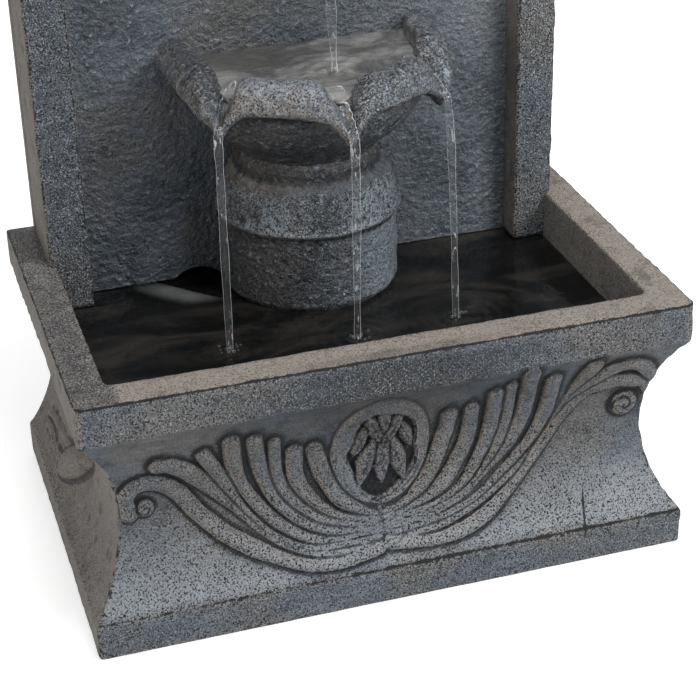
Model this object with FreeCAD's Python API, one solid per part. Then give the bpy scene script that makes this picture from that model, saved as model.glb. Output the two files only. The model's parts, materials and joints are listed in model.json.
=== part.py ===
import FreeCAD
import Part
import math
import os
from FreeCAD import Vector

# Garden wall fountain: a cast basin, a framed tower at its back, a scalloped bowl on a half urn,
# and the pump, hose and fittings that feed the spout. Millimetres, +X to the right, +Y to the wall,
# +Z up, origin at the middle of the underside.

# Basin
width = 540.0
depth = 358.0
plinth_height = 33.0
plinth_bevel = 2.5
plinth_step = 4.0
rim_underside = 210.0
rim_thickness = 36.0
rim_side_width = 32.0
rim_front_width = 34.0
rim_corner_radius = 10.0
cove_radius = 142.0
cove_inset = 31.0
wall_thickness = 16.0
floor_thickness = 24.0
basin_back_thickness = 16.0

# Tower
tower_bearing = 6.0
tower_depth = 96.0
pilaster_width = 37.0
panel_recess = 29.5
panel_thickness = 16.5
tower_wall = 16.0
tower_back_thickness = 14.0
skirt_drop = 45.0
pilaster_edge_radius = 5.0
overall_height = 860.0
arch_rise = 98.0
coping_thickness = 26.0
coping_overhang = 14.0
coping_edge_radius = 6.0
notch_left = -126.0
notch_rise = 9.0
hatch_width = 112.0
hatch_height = 90.0

# Urn under the bowl
urn_radius = 82.0
urn_wall = 14.0
urn_edge_radius = 6.0
urn_drop = 5.0
urn_drum_height = 74.0
ridge_proud = 4.0
ridge_height = 12.0
shoulder_bulge = 80.5
shoulder_height = 36.0
neck_radius = 66.0
neck_bead = 2.5
neck_height = 20.0
urn_top_thickness = 12.0

# Bowl
belly_radius = 112.0
belly_height = 79.0
belly_steps = 4
bowl_wall = 13.0
bowl_floor_thickness = 30.0
bowl_floor_radius = 46.0
rim_half_width = 19.0
rim_half_height = 14.0
rim_over_belly = 4.0
rim_middle_x = 48.0
rim_middle_forward = 137.0
wing_middle_x = 108.0
wing_middle_forward = 72.0
wing_end_x = 116.0
middle_lip_forward = 184.0
middle_lip_drop = 22.0
side_lip_x = 107.0
side_lip_forward = 168.0
side_lip_drop = 17.0
middle_mouth_forward = 122.0
side_mouth_x = 79.0
side_mouth_forward = 100.0
mouth_drop = 8.0
rim_neck_offset = 21.0
rim_neck_drop = 3.0
rim_neck_back = 40.0
rim_end_offset = 7.0
rim_end_share = 0.4
rim_neck_share = 0.75
belly_lip_share = 0.45
lip_spout_root = 20.0
lip_spout_tip = 7.0
channel_radius = 8.0

# Leaf relief on the front
finger_radius = 6.2
finger_proud = 3.4
scroll_radius = 7.5
scroll_proud = 4.5
volute_eye_radius = 8.0
volute_proud = 7.0
medallion_centre = (-8.0, 144.0)
medallion_half_width = 43.0
medallion_half_height = 57.0
medallion_proud = 8.0
boss_end_share = 0.92
root_half_width = 14.0
root_half_height = 17.0
root_proud = 5.0
root_height = 66.0

# Spout
spout_width = 64.0
spout_reach = 112.5
spout_top = 652.0
spout_lip_height = 34.0
spout_bracket_drop = 112.0
spout_channel_radius = 18.0
spout_channel_depth = 22.0
spout_back_wall = 10.0
spout_edge_radius = 5.0

# Hose and its fittings
hose_radius = 8.0
hose_side_gap = 13.0
hose_bore_radius = 6.4
barb_radius = 6.3
barb_core_radius = 5.8
barb_bore_radius = 4.6
barb_length = 20.0
barb_rings = 3
bushing_radius = 9.0
bushing_flange_radius = 12.0
bushing_flange_thickness = 2.0
bushing_end = 1.0
nut_half_flats = 13.0
nut_thickness = 7.0
washer_radius = 14.0
washer_thickness = 2.0
elbow_radius = 8.0
clamp_wall = 1.2
clamp_width = 8.0
clamp_ear_width = 6.0
clamp_ear_height = 5.0
clip_wall = 2.4
clip_length = 12.0
clip_foot_width = 28.0
clip_foot_thickness = 2.5
clip_runs = [10, 12, 14]

# Rear cover
cover_width = 220.0
cover_height = 240.0
cover_bottom = 300.0
cover_thickness = 5.0
cover_ledge = 12.0
cover_corner_radius = 8.0
body_gap = 0.3
screw_radius = 2.0
screw_head_radius = 4.2
screw_head_height = 2.6
screw_length = 15.0
screw_inset = 6.0
insert_radius = 4.0
insert_length = 8.0
finger_pull_width = 70.0
finger_pull_depth = 2.5
finger_pull_height = 18.0

# Drain and cord outlet
drain_inset = 48.0
drain_height = 44.0
drain_radius = 11.0
drain_recess_radius = 18.0
drain_recess_depth = 5.0
plug_flange_thickness = 4.0
plug_taper = 1.2
cord_hole_inset = 57.0
cord_hole_height = 275.0
grommet_bore_radius = 4.5
grommet_body_radius = 9.0
grommet_flange_radius = 13.0
grommet_flange_thickness = 2.5

# Pump
pump_x = 34.0
pump_forward = 23.0
pump_axis_height = 31.0
pump_half_width = 25.0
pump_edge_radius = 6.0
flange_half_width = 27.0
flange_thickness = 4.0
motor_length = 62.0
rotor_well_radius = 11.0
rotor_well_depth = 34.0
magnet_radius = 9.2
magnet_length = 26.0
magnet_gap = 4.0
shaft_radius = 1.5
shaft_running_gap = 0.05
bush_radius = 4.0
bush_length = 3.0
impeller_radius = 13.5
impeller_disc_thickness = 1.8
impeller_hub_radius = 3.6
blade_height = 6.0
blade_thickness = 1.4
blade_count = 6
chamber_radius = 16.0
chamber_depth = 11.0
chamber_front_thickness = 3.0
intake_radius = 10.0
spider_hub_radius = 5.4
spider_arm_width = 2.4
spider_arm_count = 3
nozzle_offset = 10.0
nozzle_collar_height = 4.0
nozzle_collar_radius = 8.0
seal_radius = 20.5
seal_section_radius = 1.1
strainer_depth = 24.0
strainer_wall = 2.0
strainer_slot_width = 3.0
strainer_slot_height = 17.0
strainer_slot_count = 5
side_slot_count = 3
slider_width = 33.0
slider_height = 18.0
slider_thickness = 1.6
slider_travel = 18.0
slider_rail_width = 2.0
slider_rail_lip = 3.0
slider_nub_height = 3.0
cup_radius = 9.0
cup_height = 6.0
cup_neck_radius = 3.5
cup_stem_radius = 2.5
cup_stem_length = 3.0
cup_half_spread_x = 15.0
cup_half_spread_y = 19.0
core_inner_half_width = 12.0
core_outer_half_width = 19.0
core_half_height = 9.0
core_front_gap = 6.0
core_bridge_width = 7.0
coil_width = 5.0
gland_radius = 5.0
gland_bore_radius = 3.0
gland_length = 14.0
gland_rise = 14.0

# Places that follow from the sizes above
front_y = -depth / 2
back_y = depth / 2
rim_top = rim_underside + rim_thickness
cove_height = (plinth_height + rim_underside) / 2
cove_offset = cove_radius - cove_inset
opening_half_width = width / 2 - rim_side_width
tower_width = 2 * (opening_half_width + tower_bearing)
basin_back_y = back_y - basin_back_thickness
tower_front_y = back_y - tower_depth
panel_y = tower_front_y + panel_recess
panel_back_y = panel_y + panel_thickness
tower_back_y = back_y - tower_back_thickness
recess_half_width = tower_width / 2 - pilaster_width
skirt_bottom = rim_top - skirt_drop
drain_x = opening_half_width - drain_inset
cord_hole_x = recess_half_width - cord_hole_inset
hose_side_x = tower_width / 2 - tower_wall - hose_side_gap - hose_radius
coping_half_width = tower_width / 2 + coping_overhang
coping_radius = (coping_half_width ** 2 + arch_rise ** 2) / (2 * arch_rise)
arch_centre_z = overall_height - coping_radius
body_arch_radius = coping_radius - coping_thickness
urn_bottom = skirt_bottom - urn_drop
ridge_bottom = urn_bottom + urn_drum_height
shoulder_bottom = ridge_bottom + ridge_height
neck_bottom = shoulder_bottom + shoulder_height
neck_top = neck_bottom + neck_height
belly_top = neck_top + belly_height
rim_height = belly_top + rim_over_belly
middle_lip_height = rim_height - middle_lip_drop
side_lip_height = rim_height - side_lip_drop
mouth_height = rim_height - mouth_drop
bowl_floor = neck_top + bowl_floor_thickness
chamber_middle_y = (panel_back_y + tower_back_y) / 2
spout_nose_y = panel_y - spout_reach
channel_floor = spout_top - spout_channel_depth
bushing_z = channel_floor + bushing_flange_radius + body_gap
elbow_barb_top = bushing_z - elbow_radius
hose_end_z = elbow_barb_top
elbow_barb_bottom = elbow_barb_top - barb_length
cover_seat_y = back_y - cover_thickness - body_gap
pump_split_y = tower_front_y - pump_forward
pump_axis_z = floor_thickness + pump_axis_height
pump_bottom = pump_axis_z - pump_half_width
volute_front_y = pump_split_y - chamber_depth - chamber_front_thickness
nozzle_x = pump_x + nozzle_offset
nozzle_y = pump_split_y - chamber_depth / 2
nozzle_base = pump_axis_z + flange_half_width
hose_start_z = nozzle_base + nozzle_collar_height
pump_rear_y = pump_split_y + motor_length
well_end_y = pump_split_y + rotor_well_depth
magnet_rear_y = well_end_y - magnet_gap
magnet_front_y = magnet_rear_y - magnet_length
core_front_y = pump_split_y + core_front_gap
bridge_front_y = well_end_y + bush_length + coil_width + magnet_gap
bridge_rear_y = bridge_front_y + core_bridge_width

# Tip, middle and root of each finger of the right-hand leaf, as x and z on the wall
leaf_fingers = [
    ((50.0, 166.0), (40.0, 118.0), (9.0, 84.0)),
    ((77.0, 168.0), (63.0, 113.0), (26.0, 80.0)),
    ((95.0, 180.0), (81.0, 112.0), (34.0, 72.0)),
    ((119.0, 200.0), (104.0, 115.0), (36.0, 65.0)),
    ((144.0, 192.0), (118.0, 107.0), (44.0, 61.0)),
    ((174.0, 196.0), (138.0, 103.0), (56.0, 57.0)),
]

# The scroll's line from the root, along the foot of the leaf and round the volute
scroll_line = [
    (12.0, 50.0),
    (58.0, 48.0),
    (108.0, 72.0),
    (150.0, 116.0),
    (182.0, 160.0),
    (212.0, 172.0),
    (233.0, 152.0),
    (228.0, 127.0),
    (208.0, 127.0),
]

# Points that the hose passes near, from the pump nozzle up to the spout, chosen by eye
hose_route = [
    Vector(nozzle_x, nozzle_y, hose_start_z),
    Vector(nozzle_x, nozzle_y, hose_start_z + 36.0),
    Vector(nozzle_x - 16.0, nozzle_y + 1.0, hose_start_z + 66.0),
    Vector(nozzle_x - 44.0, nozzle_y + 3.0, hose_start_z + 86.0),
    Vector(-hose_side_x * 0.184, tower_front_y - 21.0, skirt_bottom - 23.0),
    Vector(-hose_side_x * 0.367, tower_front_y - 13.0, skirt_bottom - 21.0),
    Vector(-hose_side_x * 0.517, tower_front_y + 9.0, skirt_bottom - 18.0),
    Vector(-hose_side_x * 0.647, panel_y + 7.0, skirt_bottom - 17.0),
    Vector(-hose_side_x * 0.763, panel_back_y + 8.0, skirt_bottom - 13.0),
    Vector(-hose_side_x * 0.884, chamber_middle_y, skirt_bottom + 4.0),
    Vector(-hose_side_x * 0.971, chamber_middle_y, skirt_bottom + 36.0),
    Vector(-hose_side_x, chamber_middle_y, skirt_bottom + 76.0),
    Vector(-hose_side_x * 0.966, chamber_middle_y, skirt_bottom + 122.0),
    Vector(-hose_side_x * 0.841, chamber_middle_y, skirt_bottom + 175.0),
    Vector(-hose_side_x * 0.657, chamber_middle_y, skirt_bottom + 227.0),
    Vector(-hose_side_x * 0.454, chamber_middle_y, skirt_bottom + 273.0),
    Vector(-hose_side_x * 0.241, chamber_middle_y, hose_end_z - 119.0),
    Vector(-hose_side_x * 0.087, chamber_middle_y, hose_end_z - 84.0),
    Vector(0.0, chamber_middle_y, hose_end_z - 46.0),
    Vector(0.0, chamber_middle_y, hose_end_z),
]


def box_between(low, high):
    """A box from its lowest corner to its highest corner."""
    return Part.makeBox(high[0] - low[0], high[1] - low[1], high[2] - low[2], Vector(*low))


def bar(radius, length, base, direction):
    """A round bar from base along direction."""
    return Part.makeCylinder(radius, length, Vector(*base), Vector(*direction))


def tube(outer, inner, length, base, direction):
    """A round tube from base along direction."""
    return bar(outer, length, base, direction).cut(bar(inner, length, base, direction))


def mirrored_x(shape):
    """The same shape on the other side of the middle plane."""
    return shape.mirror(Vector(0, 0, 0), Vector(1, 0, 0))


def turned(profile, axis_x, axis_y):
    """A solid of revolution about an upright axis, from a closed profile of radius and height."""
    edges = []
    for start, middle, end in profile:
        first = Vector(start[0], 0, start[1])
        last = Vector(end[0], 0, end[1])
        if middle is None:
            edges.append(Part.LineSegment(first, last).toShape())
        else:
            edges.append(Part.Arc(first, Vector(middle[0], 0, middle[1]), last).toShape())
    face = Part.Face(Part.Wire(edges))
    solid = face.revolve(Vector(0, 0, 0), Vector(0, 0, 1), 360)
    solid.translate(Vector(axis_x, axis_y, 0))
    return solid


def profile_of(points):
    """Joins the points of a closed profile; a third value names the middle of the arc that ends there."""
    segments = []
    for start, end in zip(points, points[1:] + points[:1]):
        middle = end[2] if len(end) > 2 else None
        segments.append((start[:2], middle, end[:2]))
    return segments


def wall_y(z):
    """The front wall's surface at a height, on the arc of its cove."""
    return front_y - cove_offset + math.sqrt(cove_radius ** 2 - (z - cove_height) ** 2)


def cove_cutters(radius):
    """Three bars whose flanks are the concave front and side walls, mitred at the corners."""
    reach = width + depth
    side_x = width / 2 + cove_offset
    front_bar = bar(radius, 2 * reach, (-reach, front_y - cove_offset, cove_height), (1, 0, 0))
    right_bar = bar(radius, 2 * reach, (side_x, -reach, cove_height), (0, 1, 0))
    left_bar = bar(radius, 2 * reach, (-side_x, -reach, cove_height), (0, 1, 0))
    return [front_bar, right_bar, left_bar]


def basin_shell():
    """Plinth, concave walls and rim around one hollow, closed at the back by a flat wall."""
    plinth = box_between((-width / 2, front_y, 0), (width / 2, back_y, plinth_height + plinth_step))
    on_top = [edge for edge in plinth.Edges if edge.BoundBox.ZMin > plinth_height]
    bevelled = [edge for edge in on_top if edge.BoundBox.YMin < back_y - 1]
    plinth = plinth.makeChamfer(plinth_bevel, bevelled)
    walls = box_between((-width / 2, front_y, plinth_height), (width / 2, back_y, rim_underside + 1))
    for cutter in cove_cutters(cove_radius):
        walls = walls.cut(cutter)
    rim = box_between((-width / 2, front_y, rim_underside), (width / 2, back_y, rim_top))
    upright = [edge for edge in rim.Edges if edge.BoundBox.ZLength > rim_thickness / 2]
    rim = rim.makeFillet(rim_corner_radius, [edge for edge in upright if edge.BoundBox.YMax < 0])
    shell = plinth.fuse([walls, rim])
    hollow = box_between(
        (-opening_half_width, front_y + rim_front_width, floor_thickness),
        (opening_half_width, basin_back_y, rim_top + 1),
    )
    for cutter in cove_cutters(cove_radius + wall_thickness):
        hollow = hollow.cut(cutter)
    shell = shell.cut(hollow)
    drain = bar(drain_radius, basin_back_thickness, (drain_x, basin_back_y, drain_height), (0, 1, 0))
    recess_base = (drain_x, back_y - drain_recess_depth, drain_height)
    recess = bar(drain_recess_radius, drain_recess_depth, recess_base, (0, 1, 0))
    return shell.cut(drain.fuse(recess)).removeSplitter()


def rings_along(curve, stations, radii, proud):
    """Circles square to a curve on the wall, each sunk so that it stands out by its share of proud."""
    first = curve.FirstParameter
    span = curve.LastParameter - first
    largest = max(radii)
    wires = []
    for station, radius in zip(stations, radii):
        at = first + span * station
        place = curve.value(at)
        sunk = radius - proud * radius / largest
        centre = Vector(place.x, wall_y(place.z) + sunk, place.z)
        wires.append(Part.Wire(Part.Circle(centre, curve.tangent(at)[0], radius).toShape()))
    return wires


def leaf_finger(tip, middle, root):
    """One tapering finger of the leaf, lofted through circles along an arc on the front wall."""
    arc = Part.Arc(Vector(tip[0], 0, tip[1]), Vector(middle[0], 0, middle[1]), Vector(root[0], 0, root[1]))
    stations = [0.0, 0.12, 0.4, 0.7, 1.0]
    radii = [finger_radius * share for share in (0.35, 0.85, 1.0, 0.75, 0.4)]
    return Part.makeLoft(rings_along(arc, stations, radii, finger_proud), True, False)


def scroll_band():
    """The scroll along the foot of the leaf, which curls into the volute at its outer end."""
    line = Part.BSplineCurve()
    line.interpolate([Vector(x, 0, z) for x, z in scroll_line])
    count = 13
    stations = [index / (count - 1) for index in range(count)]
    radii = [scroll_radius * (0.55 + 0.45 * math.sin(math.pi * min(1.0, 0.25 + 0.75 * s))) for s in stations]
    return Part.makeLoft(rings_along(line, stations, radii, scroll_proud), True, False)


def oval_boss(centre, half_width, half_height, proud):
    """A shallow oval dome that follows the wall's curve, lofted through ovals from foot to top."""
    wires = []
    count = 7
    for index in range(count):
        share = math.sin(math.pi / 2 * (2 * index / (count - 1) - 1) * boss_end_share)
        height = centre[1] + half_height * share
        fullness = math.sqrt(1 - share ** 2)
        middle = Vector(centre[0], wall_y(height), height)
        side = middle + Vector(half_width * fullness, 0, 0)
        front = middle - Vector(0, proud * fullness, 0)
        wires.append(Part.Wire(Part.Ellipse(side, front, middle).toShape()))
    return Part.makeLoft(wires, True, False)


def leaf_relief():
    """The leaf carved on the front: fingers, scrolls, volute eyes, medallion and root boss."""
    half = [leaf_finger(tip, middle, root) for tip, middle, root in leaf_fingers]
    half.append(scroll_band())
    eye_x = (scroll_line[-3][0] + scroll_line[-1][0]) / 2
    eye_z = (scroll_line[-3][1] + scroll_line[-1][1]) / 2
    half.append(oval_boss((eye_x, eye_z), volute_eye_radius, volute_eye_radius, volute_proud))
    pieces = half + [mirrored_x(piece) for piece in half]
    pieces.append(oval_boss(medallion_centre, medallion_half_width, medallion_half_height, medallion_proud))
    pieces.append(oval_boss((0.0, root_height), root_half_width, root_half_height, root_proud))
    return pieces


def basin():
    """The basin with the leaf relief cast into its front."""
    shape = basin_shell()
    for piece in leaf_relief():
        shape = shape.fuse(piece)
    return shape


def arched_plate(half_width, bottom, arch_radius, low_y, high_y):
    """An upright plate with straight sides and an arched top about the tower's arch centre."""
    shoulder = arch_centre_z + math.sqrt(arch_radius ** 2 - half_width ** 2)
    corners = [
        Vector(-half_width, low_y, shoulder),
        Vector(-half_width, low_y, bottom),
        Vector(half_width, low_y, bottom),
        Vector(half_width, low_y, shoulder),
    ]
    edges = [Part.LineSegment(a, b).toShape() for a, b in zip(corners, corners[1:])]
    crown = Vector(0, low_y, arch_centre_z + arch_radius)
    edges.append(Part.Arc(corners[3], crown, corners[0]).toShape())
    return Part.Face(Part.Wire(edges)).extrude(Vector(0, high_y - low_y, 0))


def tower_coping():
    """The moulded arch on top of the tower."""
    front = tower_front_y - coping_overhang
    outer = arched_plate(coping_half_width, cover_bottom, coping_radius, front, back_y)
    inner = arched_plate(coping_half_width + 1, cover_bottom - 1, body_arch_radius, front - 1, back_y + 1)
    band = outer.cut(inner)
    front_edges = [edge for edge in band.Edges if edge.BoundBox.YMax < front + 0.01]
    return band.makeFillet(coping_edge_radius, front_edges)


def screw_places():
    """The four corners of the rear cover where its screws go, as x and z."""
    x = cover_width / 2 - screw_inset
    low = cover_bottom + screw_inset
    high = cover_bottom + cover_height - screw_inset
    return [(-x, low), (x, low), (-x, high), (x, high)]


def rounded_plate(half_width, bottom, top, low_y, high_y, radius):
    """An upright plate with rounded corners."""
    plate = box_between((-half_width, low_y, bottom), (half_width, high_y, top))
    through = [edge for edge in plate.Edges if edge.BoundBox.YLength > (high_y - low_y) / 2]
    return plate.makeFillet(radius, through)


def tower_casting():
    """The framed back in one: two pilasters, a recessed panel, an arched top and a hollow core."""
    shape = arched_plate(tower_width / 2, rim_top, body_arch_radius, tower_front_y, back_y)
    skirt = box_between(
        (-opening_half_width, tower_front_y, skirt_bottom), (opening_half_width, panel_back_y, rim_top)
    )
    shape = shape.fuse(skirt).removeSplitter()
    recess_radius = body_arch_radius - pilaster_width
    recess = arched_plate(recess_half_width, skirt_bottom - 1, recess_radius, tower_front_y - 1, panel_y)
    shape = shape.cut(recess)
    frame_edges = [
        edge
        for edge in shape.Edges
        if edge.BoundBox.YMax < tower_front_y + 0.01 and edge.BoundBox.ZLength > skirt_drop / 2
    ]
    shape = shape.makeFillet(pilaster_edge_radius, frame_edges)
    return shape.cut(tower_core(panel_back_y, tower_back_y)).cut(tower_openings())


def tower_core(low_y, high_y):
    """The space inside the tower's walls, between two depths."""
    return arched_plate(tower_width / 2 - tower_wall, skirt_bottom - 1, body_arch_radius - tower_wall, low_y, high_y)


def behind_frame():
    """Everything from the back plate's inner face to the wall."""
    return box_between((-width, tower_back_y, 0), (width, back_y + 1, overall_height))


def tower():
    """The frame: two pilasters that meet in the arch, with a rebate behind them for the panel."""
    frame = tower_casting().cut(tower_core(panel_y, panel_back_y + 1))
    return frame.cut(behind_frame()).removeSplitter()


def tower_panel():
    """The recessed panel, seated in the frame's rebate."""
    return tower_casting().common(tower_core(panel_y, panel_back_y)).removeSplitter()


def tower_back():
    """The back plate, with the opening for the rear cover."""
    return tower_casting().common(behind_frame()).removeSplitter()


def tower_openings():
    """What is cut through the tower: notch, pump hatch, rear opening, and the fittings' holes."""
    notch_right = -urn_radius + 2.0
    notch_middle = (notch_left + notch_right) / 2
    notch_points = [
        Vector(notch_left, panel_y - 1, skirt_bottom - 1),
        Vector(notch_middle, panel_y - 1, skirt_bottom + notch_rise),
        Vector(notch_right, panel_y - 1, skirt_bottom - 1),
    ]
    notch_edges = [Part.Arc(*notch_points).toShape(), Part.LineSegment(notch_points[2], notch_points[0]).toShape()]
    notch = Part.Face(Part.Wire(notch_edges)).extrude(Vector(0, panel_thickness + 2, 0))
    hatch = box_between(
        (-hatch_width / 2, panel_y - 1, skirt_bottom - 1),
        (hatch_width / 2, panel_back_y + 1, skirt_bottom + hatch_height),
    )
    cover_top = cover_bottom + cover_height
    seat = rounded_plate(
        cover_width / 2 + body_gap,
        cover_bottom - body_gap,
        cover_top + body_gap,
        cover_seat_y,
        back_y + 1,
        cover_corner_radius,
    )
    opening = rounded_plate(
        cover_width / 2 - cover_ledge,
        cover_bottom + cover_ledge,
        cover_top - cover_ledge,
        tower_back_y - 1,
        back_y + 1,
        cover_corner_radius,
    )
    cuts = [notch, hatch, seat, opening]
    for x, z in screw_places():
        cuts.append(bar(insert_radius, tower_back_thickness, (x, tower_back_y - 1, z), (0, 1, 0)))
    cord_base = (cord_hole_x, tower_back_y - 1, cord_hole_height)
    cuts.append(bar(grommet_body_radius, tower_back_thickness + 2, cord_base, (0, 1, 0)))
    rim_base = (cord_hole_x, back_y - grommet_flange_thickness, cord_hole_height)
    cuts.append(bar(grommet_flange_radius, grommet_flange_thickness + 1, rim_base, (0, 1, 0)))
    cuts.append(bar(bushing_radius, panel_thickness + 2, (0, panel_y - 1, bushing_z), (0, 1, 0)))
    return Part.makeCompound(cuts)


def urn():
    """The half urn that carries the bowl, hollow from below, cut flat where it meets the panel."""
    inner_radius = urn_radius - urn_wall
    neck_inner = neck_radius - urn_wall
    inner_top = neck_top - urn_top_thickness
    corner = urn_edge_radius * (1 - math.sqrt(0.5))
    ridge_middle = ridge_bottom + ridge_height / 2
    shoulder_middle = shoulder_bottom + shoulder_height * 0.6
    neck_middle = neck_bottom + neck_height / 2
    points = [
        (inner_radius, urn_bottom),
        (urn_radius - urn_edge_radius, urn_bottom),
        (urn_radius, urn_bottom + urn_edge_radius, (urn_radius - corner, urn_bottom + corner)),
        (urn_radius, ridge_bottom),
        (urn_radius + 1, shoulder_bottom, (urn_radius + ridge_proud, ridge_middle)),
        (neck_radius, neck_bottom, (shoulder_bulge, shoulder_middle)),
        (neck_radius, neck_top, (neck_radius + neck_bead, neck_middle)),
        (0.0, neck_top),
        (0.0, inner_top),
        (neck_inner, inner_top),
        (inner_radius, shoulder_bottom),
    ]
    shape = turned(profile_of(points), 0, tower_front_y)
    return shape.cut(behind_panel())


def behind_panel():
    """Everything at the panel's face and behind it, which the urn, bowl and spout are cut by."""
    return box_between((-width, panel_y, 0), (width, panel_y + depth, overall_height))


def bowl_spot(x, forward, height):
    """A point of the bowl, its place in depth measured forwards from the panel."""
    return Vector(x, panel_y - forward, height)


def lip_lines():
    """For each lip, from left to right: where its channel starts inside the bowl, and its tip."""
    middle = (
        bowl_spot(0, middle_mouth_forward, mouth_height),
        bowl_spot(0, middle_lip_forward, middle_lip_height),
    )
    right = (
        bowl_spot(side_mouth_x, side_mouth_forward, mouth_height),
        bowl_spot(side_lip_x, side_lip_forward, side_lip_height),
    )
    left = tuple(Vector(-point.x, point.y, point.z) for point in right)
    return [left, middle, right]


def beside(tip, mouth, back, side):
    """A point beside a lip's channel, a way back from its tip, on one side of it."""
    along = mouth - tip
    along.z = 0
    along.normalize()
    across = Vector(along.y, -along.x, 0)
    return Vector(tip.x, tip.y, 0) + along * back + across * side


def rim_band(points, shares):
    """One stretch of the rolled rim: ovals lofted along a smooth line, slimmer where it runs out to a lip."""
    line = Part.BSplineCurve()
    line.interpolate(points)
    span = line.LastParameter - line.FirstParameter
    wires = []
    for index, share in enumerate(shares):
        at = line.FirstParameter + span * index / (len(shares) - 1)
        centre = line.value(at)
        along = line.tangent(at)[0]
        across = along.cross(Vector(0, 0, 1))
        across.normalize()
        upward = across.cross(along)
        oval = Part.Ellipse(
            centre + across * rim_half_width * share, centre + upward * rim_half_height * share, centre
        )
        upper = Part.ArcOfEllipse(oval, 0, math.pi)
        lower = Part.ArcOfEllipse(oval, math.pi, 2 * math.pi)
        wires.append(Part.Wire([upper.toShape(), lower.toShape()]))
    return Part.makeLoft(wires, True, False)


def front_band():
    """The stretch of rim between the middle lip and the right lip."""
    middle_mouth, middle_tip = lip_lines()[1]
    side_mouth, side_tip = lip_lines()[2]
    reach = (middle_mouth - middle_tip).Length
    points = [
        beside(middle_tip, middle_mouth, 0.12 * reach, rim_end_offset) + Vector(0, 0, middle_lip_height + 2),
        beside(middle_tip, middle_mouth, rim_neck_back * 0.9, rim_neck_offset) + Vector(0, 0, rim_height - rim_neck_drop),
        bowl_spot(rim_middle_x, rim_middle_forward, rim_height),
        beside(side_tip, side_mouth, rim_neck_back * 1.2, -rim_neck_offset) + Vector(0, 0, rim_height - rim_neck_drop),
        beside(side_tip, side_mouth, 0.12 * reach, -rim_end_offset) + Vector(0, 0, side_lip_height + 2),
    ]
    return rim_band(points, [rim_end_share, rim_neck_share, 1, 1, 1, rim_neck_share, rim_end_share])


def wing_band():
    """The stretch of rim between the right lip and the panel."""
    mouth, tip = lip_lines()[2]
    reach = (mouth - tip).Length
    points = [
        beside(tip, mouth, 0.12 * reach, rim_end_offset) + Vector(0, 0, side_lip_height + 2),
        beside(tip, mouth, rim_neck_back * 1.1, rim_neck_offset * 0.8) + Vector(0, 0, rim_height - rim_neck_drop),
        bowl_spot(wing_middle_x, wing_middle_forward, rim_height),
        bowl_spot((wing_middle_x + wing_end_x) / 2, wing_middle_forward / 2, rim_height),
        bowl_spot(wing_end_x, -rim_half_width, rim_height),
    ]
    return rim_band(points, [rim_end_share, rim_neck_share, 0.9, 1, 1, 1])


def scalloped_body(bottom, top, foot_radius, inset):
    """A body that rises from a round foot to the scalloped outline under the rolled rim."""
    side_mouth, side_tip = lip_lines()[2]
    middle_mouth, middle_tip = lip_lines()[1]
    half = [
        middle_mouth + (middle_tip - middle_mouth) * belly_lip_share,
        bowl_spot(rim_middle_x, rim_middle_forward - rim_half_width / 3, 0),
        side_mouth + (side_tip - side_mouth) * belly_lip_share,
        bowl_spot(wing_middle_x - rim_half_width / 3, wing_middle_forward, 0),
        bowl_spot(wing_end_x - rim_half_width / 3, -2 * rim_half_width, 0),
    ]
    outline = [Vector(-spot.x, spot.y, 0) for spot in half[:0:-1]] + half
    wires = []
    for index in range(belly_steps):
        share = index / (belly_steps - 1)
        height = bottom + (top - bottom) * share
        round_reach = foot_radius + (belly_radius - inset - foot_radius) * math.sin(share * math.pi / 2)
        points = []
        for spot in outline:
            out = Vector(spot.x, spot.y - tower_front_y, 0)
            full_reach = out.Length
            out.normalize()
            reach = round_reach + (full_reach - belly_radius) * share ** 2
            points.append(Vector(out.x * reach, tower_front_y + out.y * reach, height))
        edges = []
        for first, middle, last in zip(points[0:-2:2], points[1:-1:2], points[2::2]):
            curve = Part.BSplineCurve()
            curve.interpolate([first, middle, last])
            edges.append(curve.toShape())
        edges.append(Part.LineSegment(points[-1], points[0]).toShape())
        wires.append(Part.Wire(edges))
    return Part.makeLoft(wires, True, False)


def bowl():
    """The scalloped bowl: a belly that opens to three lips, under a rolled rim in four stretches."""
    shape = scalloped_body(neck_top, belly_top, neck_radius, 0.0)
    for mouth, tip in lip_lines():
        root = Vector(mouth.x, mouth.y, mouth.z - lip_spout_root)
        shape = shape.fuse(Part.makeCone(lip_spout_root, lip_spout_tip, (tip - root).Length, root, tip - root))
    shape = shape.cut(scalloped_body(bowl_floor, belly_top + 1, bowl_floor_radius, bowl_wall))
    bands = [front_band(), wing_band()]
    for band in bands + [mirrored_x(band) for band in bands]:
        shape = shape.fuse(band)
    above = Vector(0, 0, channel_radius)
    for mouth, tip in lip_lines():
        start = mouth + (mouth - tip) * 0.5 + above
        shape = shape.cut(bar(channel_radius, 2.5 * (tip - mouth).Length, tuple(start), tuple(tip - mouth)))
    return shape.cut(behind_panel()).removeSplitter()


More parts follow.
